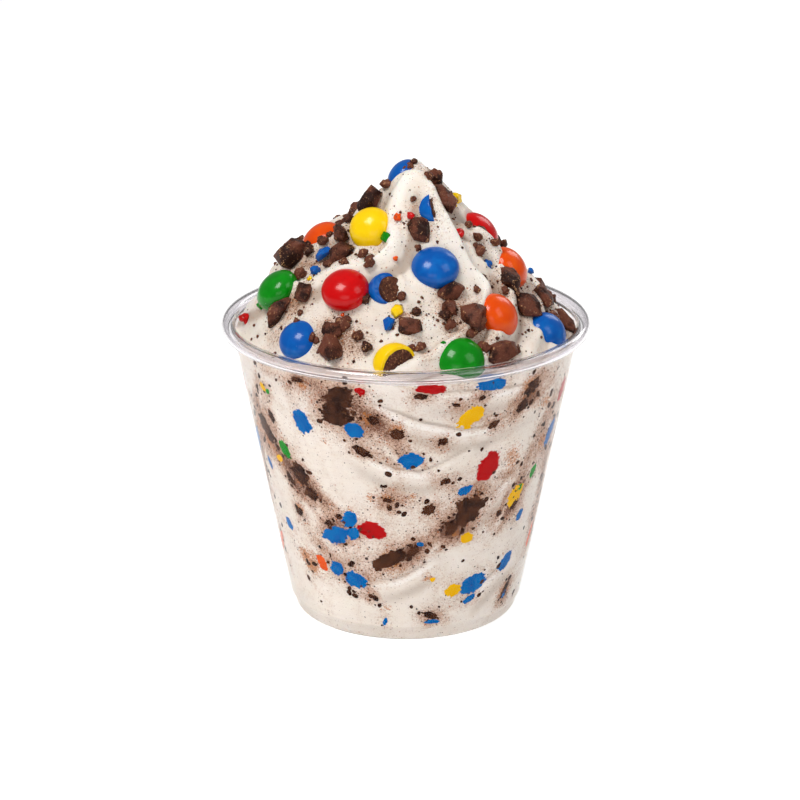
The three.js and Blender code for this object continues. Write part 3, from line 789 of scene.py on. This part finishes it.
# %% The body's points
# Patches of chocolate dust on the heap: azimuth, distance from the axis, and radius.
DUSTY = [
    (-143.1, 39.8, 4), (-141.3, 34.7, 4), (-81.2, 38.6, 4), (-112.9, 38.3, 5), (-149.6, 23.5, 5),
    (-107.3, 37.6, 4), (-18.2, 25, 3), (-69.4, 32.3, 4), (-29.5, 21.4, 3), (-1.1, 36.5, 4),
    (-47.6, 12.7, 2.5), (-166.1, 37.5, 4), (-161.8, 26.8, 4), (-110.7, 28.5, 3), (-64.8, 37, 3),
    (-90.4, 31.6, 3), (-120.7, 36.4, 5), (-111.9, 17.2, 4), (-48, 3.4, 2.4), (60, 32, 5), (110, 26, 5),
    (150, 33, 5), (30, 20, 4)]
ROUND, HEAP_RINGS, WALL_RINGS = 400, 118, 108
INTO_WALL = 0.1
angles = np.linspace(0, 2 * math.pi, ROUND, endpoint=False)
MEETS_WALL = 0.25
edge_radius = HEAP_RADIUS + MEETS_WALL
radii = edge_radius * np.linspace(0, 1, HEAP_RINGS + 1)[1:] ** 0.93
grid_r, grid_a = np.meshgrid(radii, angles, indexing="ij")
top_x, top_y = (grid_r * np.cos(grid_a)).ravel(), (grid_r * np.sin(grid_a)).ravel()
top_x, top_y = np.append(0.0, top_x), np.append(0.0, top_y)
top = np.stack([top_x, top_y, fine_heap(top_x, top_y)], 1)

CANDY_LIP, CHUNK_LIP, LIP_WIDTH = 0.55, 0.35, 0.9
lip = np.zeros(len(top))
for _, centre, axes, diameter in candy_places:
    d = lens_reach(top, centre, axes, diameter)
    lip = np.maximum(lip, CANDY_LIP * hump(d, 0.5, LIP_WIDTH))
dust = np.zeros(len(top))
for centre, size in chunk_places:
    d = np.linalg.norm(top - centre, axis=1)
    lip = np.maximum(lip, CHUNK_LIP * hump(d, size * 0.8, LIP_WIDTH))
    dust += 0.7 * hump(d, 0, size * 1.2)
for azimuth, r, radius in DUSTY:
    point, _ = heap_spot(azimuth, r)
    dust += 0.6 * hump(np.linalg.norm(top - point, axis=1), 0, radius)
top[:, 2] += lip * smooth(1, 4, np.hypot(top_x, top_y))

contact = top[-ROUND:, 2]
levels = np.linspace(0, 1, WALL_RINGS + 1)[1:]
wall_z = contact[None, :] + (STEP_HEIGHT - contact[None, :]) * levels[:, None]
wall_a = np.broadcast_to(np.degrees(angles), wall_z.shape)
flat_a, flat_z = wall_a.ravel(), wall_z.ravel()

# %% Streaks, creases with painted shade and highlight, and dust on the wall
STREAK_WIDTH, DRAWN_OUT = 4.2, 3.2
wall_dust = np.zeros(len(flat_z))
wall_fold_shading = np.zeros(len(flat_z))
recess = np.zeros(len(flat_z))
for i, line in enumerate(streaks):
    d, along, side, inner = line_distance(flat_a, flat_z, line)
    drawn_out = noise(np.stack([along, d * side * DRAWN_OUT, 0 * d], 1), 6, 80 + i)
    wall_dust += inner * hump(d, 0, STREAK_WIDTH) * np.clip(0.62 + 0.75 * drawn_out, 0.1, 1.2)
wander = 0.7 * noise(np.stack([flat_a * 0.7, flat_z, flat_z * 0], 1), 9, 71)
for line in crests:
    d, _, side, inner = line_distance(flat_a, flat_z, line)
    signed = d * side + wander
    # Painted light and shade: each crest is painted lighter, and the crease just past it and a broad band
    # beyond the crest darker.
    crest = 0.9 * hump(signed, -0.6, 0.9)
    crease = 0.8 * hump(signed, 0.7, 0.6)
    wall_fold_shading += inner * (crest - crease - 0.45 * hump(signed, -4.5, 2.2))
    wall_dust += 0.22 * inner * hump(signed, 3.2, 2.2)
    recess += 0.13 * inner * hump(signed, 0.6, 0.7)
for kind, azimuth, z, width, height, tilt in wall_pieces:
    p, q = swung(along_wall(flat_a, azimuth, inner_wall(z)), flat_z - z, math.radians(tilt))
    p, q = p / (width / 2 + 1.6), q / (height / 2 + 1.4)
    amount = 0.95 if kind == "chocolate" else 0.42
    wall_dust += amount * np.exp(-(p * p + q * q) * 0.9)
wall_gold = np.zeros(len(flat_z))
for azimuth, z, radius in golden:
    u = along_wall(flat_a, azimuth, inner_wall(z))
    wall_gold += np.exp(-((u * u + (flat_z - z) ** 2) / radius ** 2))
wall_radius = inner_wall(flat_z) + INTO_WALL - recess
wall = ring(wall_radius, np.radians(flat_a), flat_z)

under = floor_top - 0.06
foot = [(29.55, 3.45), (29.15, 1.5), (28.8, 0.6), (28, 0.35), (25.9, 0.4), (24.6, under), (12, under)]
body = np.concatenate([top, wall, *[ring(r, angles, z) for r, z in foot], [[0, 0, under]]])
rest = np.zeros(len(body) - len(top) - len(wall))
# Painted shade and highlight along the heap's folds and ridges: crests lighter, creases darker, all a little
# darker to start from.
heap_fold_shading = np.zeros(len(top)) - 0.15
polar_r, polar_a = heap_polar(top_x, top_y)
for fold in FOLDS:
    d = fold_place(fold, polar_r, polar_a)
    heap_fold_shading += fold[4] * (0.4 * hump(d, 0, 0.6) - 0.5 * hump(d, 1.2, 0.45))
for ridge in RIDGES:
    heap_fold_shading += 0.5 * ridge_height(top_x, top_y, *ridge)
on_wall = np.concatenate([np.zeros(len(top)), np.ones(len(wall) + len(rest))])
# The fold mark carries the painted shade and highlight of the folds.
marks = {"dust": np.concatenate([dust, wall_dust, rest + 0.1]),
         "fold": np.concatenate([heap_fold_shading, wall_fold_shading * 1.3, rest]),
         "gold": np.concatenate([0.35 * dust, wall_gold, rest]), "wall": on_wall}
body_faces = turned(HEAP_RINGS + WALL_RINGS + len(foot), ROUND)
print("mean dust on heap and wall:", [round(float(d.mean()), 3) for d in (dust, wall_dust)])

# %% [markdown]
# The cream itself is a warm white that glows a little, because light enters it and comes out beside where
# it went in. Subsurface scattering gives that glow. Four things lie on it: brown clouds where crumbs were
# stirred in, golden smudges where candies have bled, fine specks that crowd together in both, and a few
# dark ones everywhere. A powdery noise breaks up the clouds, since they are made of grains.

# %% Blended ice cream
cream = Look("blended_ice_cream")
dusty, fold_light_and_shade, at_wall, smudged = (cream.mark(name) for name in ("dust", "fold", "wall", "gold"))
broad, curl, fine_grain = cream.noise(22, 3), cream.noise(5.5, 4, 0.6, 0.6), cream.noise(1.3, 4, 0.65)
powder = cream.noise(0.5, 3, 0.7)
base = cream.mix(broad.between(0.3, 0.7), colour("E9DFD3"), colour("F3EBE1"))
base = cream.mix((curl * 0.6 + broad * 0.6).between(0.45, 0.8) * 0.4, base, colour("D2C2B0"))
# Painted shade in the creases of the folds, then a painted highlight on their crests.
base = cream.mix((fold_light_and_shade * -1).between(0.05, 1.0) * 0.7, base, colour("A48E7C"))
base = cream.mix(fold_light_and_shade.between(0.1, 1.0) * 0.5, base, colour("FFFCF6"))
cloud = (dusty * 0.55 + curl * 0.6 + fine_grain * 0.5 + powder * 1.2 - 1.2).between(0.0, 0.6)
base = cream.mix(cloud * (at_wall * 0.2 + 0.5), base, colour("B4805C"))
deep_cloud = (dusty * 0.45 + curl * 0.8 + powder * 1.9 - 1.85).between(0.0, 0.4)
base = cream.mix(deep_cloud * 0.85, base, colour("643621"))
gold = (smudged * 0.55 + powder * 1.5 + curl * 0.5 - 1.3).between(0.0, 0.3)
base = cream.mix(gold * 0.75, base, colour("C07636"))
gathered = (dusty + smudged * 0.5 + curl * 1.2 - 0.75).between(0.0, 1.0)
# Spacing and radius of each kind of speck, how much more of them where they gather, how many elsewhere, how
# strongly they show, and their colour.
SPECKS = [(0.8, 0.26, 0.5, 0.015, 0.8, "B05C2A"), (0.34, 0.12, 0.8, 0.1, 0.75, "6E4230"),
          (0.55, 0.17, 0.9, 0.07, 0.85, "5E3421"), (0.95, 0.27, 0.6, 0.015, 0.92, "3E2015"),
          (2.0, 0.5, 0.4, -0.02, at_wall, "351B12")]
for spacing, radius, more, elsewhere, share, tone in SPECKS:
    spots = cream.specks(spacing, radius, gathered * more + elsewhere)
    base = cream.mix(spots * share, base, colour(tone))
ripple = cream.bump(cream.noise(2.6, 3) * 0.7 + fine_grain * 0.4, 0.35, 0.35)
cream_look = cream.surface({
    "Base Color": base, "Roughness": fine_grain * 0.2 + 0.38, "Normal": ripple, "Subsurface Weight": 0.25,
    "Subsurface Radius": (1.0, 0.62, 0.38), "Subsurface Scale": 0.0014, "Specular IOR Level": 0.15})
make_piece("blended_ice_cream", body, body_faces, cream_look, marks, ("ice_cream",))

# %% [markdown]
# ## Sugar shell
#
# A candy's shell is a hard, polished skin of coloured sugar. Its colour isn't quite even: there are faint
# clouds where the syrup dried thicker, and tiny pits with painted white glints. A clear coat gives the
# sharp reflection of the lamp over a softer one beneath it.

# %% One sugar shell finish per colour
SUGAR = {"blue": ("0054AA", "0472C6"), "red": ("C60206", "DC080C"), "yellow": ("FACC00", "FFDC10"),
         "green": ("027E0C", "109818"), "orange": ("E44A02", "F0620A")}


def sugar_shell(name, deep, light):
    look = Look(name)
    clouds, pit_glints = look.noise(3.2, 3), look.specks(0.9, 0.1, 0.16)
    tone = look.mix(clouds.between(0.4, 0.75) * 0.55, colour(deep), colour(light))
    # The pits are painted white, as tiny glints of light.
    tone = look.mix(pit_glints * 0.3, tone, colour("FFFFFF"))
    skin = look.bump(look.noise(1.6, 3), 0.12, 0.08)
    return look.surface({
        "Base Color": tone, "Roughness": clouds * 0.1 + 0.3, "Normal": skin, "Coat Weight": 0.55,
        "Coat Roughness": 0.14, "Coat IOR": 1.42, "Specular IOR Level": 0.06})


shells = {name: sugar_shell(f"sugar_shell_{name}", *tones) for name, tones in SUGAR.items()}
print("sugar shells:", sorted(shells))

# %% [markdown]
# Whole candies are fat lenses. Each one is turned from half an ellipse and then pushed in and out by a few
# hundredths of a millimetre, because a real one is never quite true. All the candies of a colour are one
# piece.

# %% Whole candies
def lens_shape(rings=40, sides=72):
    polar = np.linspace(0, math.pi, rings + 2)[1:-1]
    around = np.linspace(0, 2 * math.pi, sides, endpoint=False)
    rows = [ring(math.sin(p), around, math.cos(p)) for p in polar]
    return np.concatenate([[[0, 0, 1]], *rows, [[0, 0, -1]]]), turned(rings, sides)


unit_lens, lens_faces = lens_shape()
for name in SUGAR:
    parts = []
    for seed, (kind, azimuth, r, diameter, lift, face) in enumerate(CANDIES):
        if kind != name:
            continue
        centre, axes = settle(azimuth, r, lift, face)
        local = unit_lens * lens_radii(diameter)
        uneven = 1 + 0.012 * noise(unit_lens, 0.7, seed) + 0.004 * noise(unit_lens, 0.22, seed + 50)
        local *= uneven[:, None]
        parts.append((centre + local @ axes.T, lens_faces, {}))
    replaced = [n for n in nodes if n.startswith(f"candy_{name}_")]
    make_joined(f"candies_{name}", parts, shells[name], replaced)

# %% [markdown]
# ## Chocolate
#
# Broken chocolate shows two surfaces: dark faces where it was moulded, and a paler, gritty grain where it
# broke. Thin edges crumble and turn tan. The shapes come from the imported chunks: rays from the middle of
# each one find its flat faces, the points are laid on them and then roughened. How sharply the surface
# turns at each point is kept as a mark, and the finish turns those edges tan.

# %% Chocolate finish
def chocolate(name, dark, pale, edge_tone, grit=1.3, shine=0.16):
    look = Look(name)
    worn, own = look.mark("edge"), look.mark("tone")
    patches, grain, dots = look.noise(3.0, 3, 0.6), look.noise(0.55, 4, 0.7), look.specks(0.45, 0.16, 0.45)
    broken = (patches * 0.7 + grain * 0.9 + own * 0.5 - 0.45).between(0.35, 0.85)
    tone = look.mix(broken, colour(dark), colour(pale))
    chipped = look.noise(0.8, 3, 0.7)
    tone = look.mix((worn * 0.35 + grain * 1.5 + chipped * 1.3 - 1.8).between(0.0, 0.2) * 0.8, tone,
                    colour(edge_tone))
    tone = look.mix(dots * (worn * 0.8 + 0.3).between(0.0, 1.0), tone, colour(edge_tone))
    rough = look.bump(grain * 0.8 + look.noise(0.28, 2) * 0.35, 0.6 * grit, 0.25)
    return look.surface({"Base Color": tone, "Roughness": grain * 0.25 + 0.3, "Normal": rough,
                         "Specular IOR Level": shine})


chocolate_look = chocolate("broken_chocolate", "29110A", "6A3B2B", "BC8C64")
core_look = chocolate("chocolate_core", "331810", "643A28", "B07E56")
wall_chocolate = chocolate("smeared_chocolate", "240D07", "54301E", "A66E42", grit=1.2, shine=0.04)

# %% Broken shapes
def neighbours_of(faces):
    """The other ends of the edges at each point, as two index arrays."""
    pairs = np.concatenate([faces[:, [0, 1]], faces[:, [1, 2]], faces[:, [2, 0]]])
    pairs = np.concatenate([pairs, pairs[:, ::-1]])
    return pairs[:, 0], pairs[:, 1]


def sharpness(points, faces, rounds=3):
    """How far each point stands out from the average of those round it, in millimetres."""
    here, there = neighbours_of(faces)
    count = np.bincount(here, minlength=len(points))[:, None]
    soft = points.copy()
    for _ in range(rounds):
        total = np.zeros_like(soft)
        np.add.at(total, here, soft[there])
        soft = total / count
    out = points - points.mean(0)
    out /= np.linalg.norm(out, axis=1)[:, None]
    return np.einsum("ij,ij->i", points - soft, out)


def rough_copy(name, detail, seed, roughness, grown=1.0):
    """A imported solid's shape on a fine ball of points, roughened, with its sharp edges marked."""
    points, faces = node_mesh(name)
    tree = BVHTree.FromPolygons([Vector(p) for p in points], faces)
    middle = Vector(points.mean(0))
    unit, ball_faces = ball(detail)
    out = []
    for ray in unit:
        hit = tree.ray_cast(middle, Vector(ray))[0]
        out.append(hit if hit else middle + Vector(ray))
    out = np.array(middle) + (np.array(out, float) - np.array(middle)) * grown
    edge = np.clip(sharpness(out, ball_faces) / 0.1, 0, 1.2) * smooth(-0.35, 0.3, noise(out, 1.3, seed + 60))
    size = float(np.linalg.norm(points.max(0) - points.min(0))) / 2
    rub = 0.45 * noise(out, 1.8, seed) + 0.5 * noise(out, 0.8, seed + 9) + 0.5 * noise(out, 0.4, seed + 5)
    away = out - np.array(middle)
    away /= np.linalg.norm(away, axis=1)[:, None]
    side_roughness = 0.6 + 0.5 * noise(out, size * 0.9, seed + 31)
    worn_off = 0.5 * edge * (0.5 + noise(out, 0.8, seed + 3))
    depth = roughness * (rub * np.clip(side_roughness, 0.3, 1.2) - worn_off)
    tone = np.clip(0.5 + 0.9 * noise(away, 0.9, seed + 40) + 0.3 * (draw(seed, 8) - 0.5), 0, 1)
    return out + away * depth[:, None], ball_faces.tolist(), {"edge": edge, "tone": tone}


# %% Chocolate chunks
parts = [rough_copy(name, detail=5, seed=100 + i, roughness=0.3, grown=1.18)
         for i, name in enumerate(chunk_names)]
make_joined("chocolate_chunks", parts, chocolate_look, chunk_names)

# %% [markdown]
# Splinters of shell are thin curved flakes with a bright outside and chocolate stuck to the inside. Their
# solids are small hulls, and the same rough copy gives them their broken look.

# %% Splinters of sugar shell
def splinter(name, deep, light):
    look = Look(name)
    worn, clouds = look.mark("edge"), look.noise(1.6, 3)
    tone = look.mix(clouds.between(0.4, 0.7) * 0.6, colour(deep), colour(light))
    tone = look.mix((worn + clouds - 1.0).between(0.0, 0.5) * 0.4, tone, colour("4A2A1E"))
    skin = look.bump(look.noise(0.6, 3), 0.4, 0.15)
    return look.surface({
        "Base Color": tone, "Roughness": clouds * 0.2 + 0.28, "Normal": skin, "Coat Weight": 0.3,
        "Coat Roughness": 0.15, "Specular IOR Level": 0.08})


splinters = {name: splinter(f"splinter_{name}", *tones) for name, tones in SUGAR.items()}
for name in SUGAR:
    own = [n for n in shard_names if n.startswith(f"shard_{name}_")]
    if own:
        parts = [rough_copy(n, detail=4, seed=200 + i, roughness=0.26) for i, n in enumerate(own)]
        make_joined(f"splinters_{name}", parts, splinters[name], own)

# %% [markdown]
# ## Broken candies
#
# A broken candy is a lens cut by an uneven plane: a ring of coloured shell round a gritty chocolate core.
# The shell's rim and the core's face are built from rays out of a point inside it. The rings of points are
# laid so that one of them runs exactly along the break, which keeps that edge crisp.

# %% A lens cut by a break
def cut_lens(radii, cut_way, cut_at, seed, roughness, rings=(22, 30), sides=96):
    """Points and faces of a lens that is cut across, in the lens's own axes."""
    helper = np.array([0, 0, 1.0]) if abs(cut_way[2]) < 0.9 else np.array([1.0, 0, 0])
    first = normed(np.cross(helper, cut_way))
    second = np.cross(cut_way, first)
    start = cut_way * (cut_at - 0.45 * min(radii))
    reach = cut_at - float(start @ cut_way)
    around = np.linspace(0, 2 * math.pi, sides, endpoint=False)

    def skin(ways):
        a = ((ways / radii) ** 2).sum(-1)
        b = (ways * start / radii ** 2).sum(-1)
        c = ((start / radii) ** 2).sum() - 1
        return (-b + np.sqrt(b * b - a * c)) / a

    def way(polar, side):
        spread = np.cos(side)[..., None] * first + np.sin(side)[..., None] * second
        return np.cos(polar)[..., None] * cut_way + np.sin(polar)[..., None] * spread

    ragged = 1 + 0.5 * roughness * noise(ring(1, around, 0) * 3, 0.8, seed)
    low, high = np.zeros(sides), np.full(sides, math.pi / 2 - 0.01)
    for _ in range(30):
        middle = (low + high) / 2
        beyond = skin(way(middle, around)) * np.cos(middle) > reach * ragged
        low, high = np.where(beyond, middle, low), np.where(beyond, high, middle)
    border = (low + high) / 2
    rows = []
    for t in np.linspace(0, 1, rings[0] + 1)[1:]:
        w = way(border * t, around)
        rows.append(start + w * (reach * (1 + (ragged - 1) * t) / np.cos(border * t))[:, None])
    for t in np.linspace(0, 1, rings[1] + 1)[1:-1]:
        w = way(border + (math.pi - border) * t, around)
        rows.append(start + w * skin(w)[:, None])
    points = np.concatenate([[start + cut_way * reach], *rows, [start - cut_way * skin(-cut_way[None])[0]]])
    face = np.zeros(len(points))
    face[:1 + rings[0] * sides] = 1
    bumps = noise(points, 0.9, seed + 1) * 0.6 + noise(points, 0.4, seed + 2) * 0.4
    points = points + cut_way * (bumps * roughness * face)[:, None]
    marks = {"edge": 0.6 * face + 0.3 * noise(points, 0.8, seed + 3), "tone": 0.3 + 0.3 * face}
    return points, turned(len(rows), sides), marks


for i, (name, azimuth, r, diameter, lift, face, cut, cut_at, bare) in enumerate(BROKEN):
    centre, axes = settle(azimuth, r, lift, face)
    cut_way = axes.T @ direction(*cut)
    radii = lens_radii(diameter)
    label = f"broken_{name}_{i + 1}"
    local, faces, _ = cut_lens(radii, cut_way, cut_at, seed=300 + i, roughness=0.12)
    outer = centre + local @ axes.T
    make_piece(f"{label}_skin", outer, faces, shells[name], {}, [f"{label}_shell"])
    inner = radii - SHELL * 0.8
    local, faces, face_marks = cut_lens(inner, cut_way, cut_at + CORE_PROUD, seed=320 + i, roughness=0.4)
    core = centre + local @ axes.T + [bare, 0, -0.2 * bare]
    make_piece(f"{label}_middle", core, faces, core_look, face_marks, [f"{label}_core"])

# %% [markdown]
# ## Crumbs
#
# Crumbs lie everywhere between the larger pieces. Fifty of them are in the solid too, at the turns of a
# sunflower's seeds, which spread points evenly. More are placed where the picture shows one, and the finest
# are strewn at random, more thickly where the cream is dusty.

# %% A crumb and where crumbs lie
GOLDEN_TURN = 137.508
CRUMBS = 50
# Azimuth, distance from the axis, and size of single crumbs seen in the picture.
SEEN_CRUMBS = [
    (-116.4, 34.9, 3.4), (-155, 4.8, 3.0), (151, 18.8, 2.8), (-35.4, 21.7, 2.8), (-109, 36.3, 2.6),
    (-70.5, 33, 2.8), (-63.6, 36, 2.8), (-110, 29.1, 3.0), (-153.7, 29, 3.2), (-84.2, 36.4, 2.6),
    (-104.5, 37.7, 2.8), (-85.4, 30, 2.6), (-131, 12, 2.4), (-147, 14, 2.6), (-120, 21, 2.6),
    (-112, 24, 2.8), (-128, 24.5, 2.4), (-142, 24.5, 2.6), (-160, 22, 2.8), (-166, 25, 2.4),
    (-136, 37, 2.2), (-126, 38.5, 2.2), (-98, 38.5, 2.2), (-60, 38.6, 2.6), (-47, 39.5, 2.4),
    (-33, 29.5, 2.4), (-14, 38, 2.8), (-4, 37, 2.6), (-30, 17.8, 2.2), (-58, 10.5, 2.2), (12, 24.3, 3.8),
    (8, 26.5, 2.6), (-1, 24.5, 2.6), (142, 15.5, 3.4), (150, 14, 3.0), (158, 15.5, 3.0), (132, 16, 3.0),
    (170, 17, 2.6), (-178, 14.5, 2.4), (-170, 13.6, 2.2), (-60, 2.3, 2.0), (-95, 2.4, 1.8), (-30, 2.4, 1.8),
    (-37, 22.5, 2.6), (-24, 24, 2.4)]
# The same for bits of shell, with their colour first.
SEEN_BITS = [
    ("blue", -146.4, 26.6, 2.6), ("red", -84.7, 13.8, 2.2), ("orange", -98.6, 13.7, 2.0),
    ("red", -171, 41, 2.8), ("green", -161.5, 38, 2.2), ("blue", -32.7, 24.1, 2.4),
    ("orange", -97, 21.2, 1.2), ("orange", -118, 33, 1.0), ("yellow", -140, 31, 1.3),
    ("green", -76, 37.5, 1.2), ("blue", -150, 33, 1.2), ("yellow", -12, 12.5, 1.2), ("blue", 40, 20, 2.4),
    ("yellow", 100, 27, 2.2), ("red", 62, 35, 2.2), ("green", 150, 27, 2.0), ("orange", 84, 38, 2.0),
    ("blue", 14, 33, 1.8), ("red", -44, 18, 2.4)]
small_ball, fine_ball = ball(3), ball(2)


def surface_place(azimuth, r):
    point, normal = heap_spot(azimuth, r)
    point[2] = fine_heap(point[:1], point[1:2])[0]
    return point, normal


def covered(point, margin):
    return any(lens_reach(point[None], c, a, d)[0] < margin for _, c, a, d in candy_places)


def crumb(point, normal, size, seed, form=small_ball):
    unit, faces = form
    stretch = np.array([1, 0.75 + 0.3 * draw(seed, 1), 0.65 + 0.3 * draw(seed, 2)])
    knobs = 1 + 0.42 * noise(unit + seed, 0.8, seed) + 0.26 * noise(unit + seed, 0.4, seed + 1)
    turn = 2 * math.pi * draw(seed, 3)
    along = normed(np.cross(normal, [math.cos(turn), math.sin(turn), 0.2]))
    axes = np.stack([along, np.cross(normal, along), normal], 1)
    local = unit * knobs[:, None] * stretch * size / 2
    edge = np.clip(0.5 + 0.9 * noise(unit + seed, 0.5, seed + 7), 0, 1.4)
    tone = np.full(len(unit), 0.3 + 0.7 * draw(seed, 9))
    return point + local @ axes.T, faces.tolist(), {"edge": edge, "tone": tone}


parts = []
for i in range(CRUMBS):
    r = 4 + 36 * math.sqrt((i + 0.5) / CRUMBS)
    point, normal = surface_place(i * GOLDEN_TURN + 40 * draw(i, 5), r)
    size = 1.5 + 1.5 * draw(i, 6)
    if not covered(point, 0.4):
        parts.append(crumb(point + normal * 0.2 * size, normal, size, i))
for i, (azimuth, r, size) in enumerate(SEEN_CRUMBS):
    point, normal = surface_place(azimuth, r)
    parts.append(crumb(point + normal * 0.28 * size, normal, size, 60 + i))
make_joined("chocolate_crumbs", parts, chocolate_look)

# %% Bits of shell and the finest crumbs
for name in SUGAR:
    parts = []
    for i, (kind, azimuth, r, size) in enumerate(SEEN_BITS):
        if kind == name:
            point, normal = surface_place(azimuth, r)
            parts.append(crumb(point + normal * 0.3 * size, normal, size, 120 + i))
    make_joined(f"bits_{name}", parts, splinters[name])

FINE_CRUMBS, MOST_TRIES = 800, 12000
STREWN_RADIUS = 42.5
parts, tries = [], 0
centres = np.array([c for c, _ in chunk_places])
sizes = np.array([s for _, s in chunk_places])
while len(parts) < FINE_CRUMBS and tries < MOST_TRIES:
    tries += 1
    r = STREWN_RADIUS * math.sqrt(draw(tries, 11))
    azimuth = 360 * draw(tries, 12)
    point, normal = surface_place(azimuth, r)
    thick = float((0.8 * hump(np.linalg.norm(centres - point, axis=1), 0, sizes * 1.4)).sum())
    if draw(tries, 13) < 0.06 + thick and not covered(point, 0.1):
        size = 0.32 + 0.68 * draw(tries, 14) ** 2.5
        parts.append(crumb(point + normal * 0.15 * size, normal, size, 400 + tries, fine_ball))
make_joined("fine_crumbs", parts, chocolate_look)
print("fine crumbs strewn:", len(parts), "of", tries, "tries")

# %% [markdown]
# ## The pieces against the wall
#
# Each is laid out on the wall in its own length and breadth, with a ragged outline, and closed behind.

# %% Lay a piece against the wall
PROUD, SUNK_RIM, BACK_DEPTH, BACK_BULGE = 0.1, 0.2, 0.9, 0.4
REACH = 0.56  # of the length or breadth: half of it, and a little for the ragged rim


def wall_piece(kind, azimuth, z, width, height, tilt, seed, rings=12, sides=104):
    around = np.linspace(0, 2 * math.pi, sides, endpoint=False)
    circle = ring(1, around, 0)
    uneven = 0.22 if kind == "chocolate" else 0.1
    fine = 0.6 / max(width, height, 1.2)
    rim = (1 + uneven * noise(circle * 1.3 + seed, 0.8, seed)
           + 0.5 * uneven * noise(circle * 3 + seed, 0.7, seed + 1)
           + 0.6 * uneven * noise(circle + seed, 2 * fine, seed + 6))
    rows = []
    for share in np.linspace(0, 1, rings + 1)[1:]:
        u = share * rim * width * REACH * np.cos(around)
        v = share * rim * height * REACH * np.sin(around)
        rows.append(np.stack([*swung(u, v, math.radians(-tilt)), np.full(sides, share)], 1))
    flat = np.concatenate([[[0, 0, 0]], *rows])
    place = flat[:, [0, 1, 1]] + seed
    grain = 0.6 * noise(place, 0.75, seed + 2) + 0.5 * noise(place, 0.4, seed + 3)
    lift = PROUD - SUNK_RIM * smooth(0.45, 1.0, flat[:, 2]) + 0.11 * grain * smooth(0.2, 0.8, flat[:, 2])
    back = rows[-1].copy()
    back[:, :2] *= 0.8
    flat = np.concatenate([flat, back, [[0, 0, 1]]])
    lift = np.concatenate([lift, np.full(sides, -BACK_DEPTH), [-BACK_DEPTH - BACK_BULGE]])
    lift[1 + (rings - 1) * sides:1 + rings * sides] -= 0.12
    height_at = z + flat[:, 1]
    radius = inner_wall(height_at) + INTO_WALL + lift
    points = ring(radius, math.radians(azimuth) + flat[:, 0] / inner_wall(z), height_at)
    edge = np.clip(0.4 * flat[:, 2] + 0.5 * noise(points, 0.8, seed + 4), 0, 1)
    return points, turned(rings + 1, sides), {"edge": edge, "tone": 0.5 + 0.5 * noise(points, 1.5, seed + 5)}


def smeared_shell(name, deep, light):
    """Sugar shell wetted by the cream: paler and duller, with cream grained into it."""
    look = Look(name)
    clouds, veil = look.noise(2.4, 3), look.noise(0.7, 3, 0.6)
    tone = look.mix(clouds.between(0.35, 0.7) * 0.5, colour(deep), colour(light))
    tone = look.mix((look.mark("edge") + veil - 1.15).between(0.0, 0.35) * 0.5, tone, colour("D9CFC6"))
    return look.surface({"Base Color": tone, "Roughness": clouds * 0.2 + 0.35,
                         "Normal": look.bump(veil, 0.25, 0.1), "Specular IOR Level": 0.04})


WALL_BITS, MOST_TRIES = 1300, 60000
BIT_RINGS, BIT_SIDES = 3, 11
small_bits, tries = [], 0
while len(small_bits) < WALL_BITS and tries < MOST_TRIES:
    tries += 1
    azimuth, t = 360 * draw(tries, 21), draw(tries, 22)
    column = int(azimuth / 360 * ROUND) % ROUND
    row = min(WALL_RINGS - 1, int(t * WALL_RINGS))
    if draw(tries, 23) < 0.03 + 0.7 * max(0, wall_dust[row * ROUND + column] - 0.15):
        size = 0.45 + 1.5 * draw(tries, 24) ** 3
        small_bits.append(wall_piece("chocolate", azimuth, wall_z[row, column], size * 1.3, size,
                                     180 * draw(tries, 25), 700 + tries, BIT_RINGS, BIT_SIDES))
print("bits of chocolate against the wall:", len(small_bits))
WALL_SUGAR = {"blue": ("005EAA", "0682C8"), "red": ("B00408", "CC0E14"), "yellow": ("F0B400", "FACC14"),
              "green": ("0A8A1C", "2CA63C"), "orange": ("E65010", "F47A34")}
wall_looks = {name: smeared_shell(f"smeared_{name}", *tones) for name, tones in WALL_SUGAR.items()}
wall_looks["chocolate"] = wall_chocolate
for name in ["chocolate", *SUGAR]:
    parts = [wall_piece(*row, seed=500 + i) for i, row in enumerate(wall_pieces) if row[0] == name]
    make_joined(f"against_wall_{name}", parts, wall_looks[name])
make_joined("bits_against_wall", small_bits, wall_chocolate)

# %% [markdown]
# ## Sizes, and the end
#
# The solids decide how big the object is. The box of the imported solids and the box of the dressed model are
# written side by side, so that any growth shows at once.

# %% Compare the boxes and finish
made_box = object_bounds()
for name, made, packed in zip(("low", "high"), made_box, cad_box):
    print("grown at the", name, "corner, in mm:", [round((m - p) / MM, 2) for m, p in zip(made, packed)])
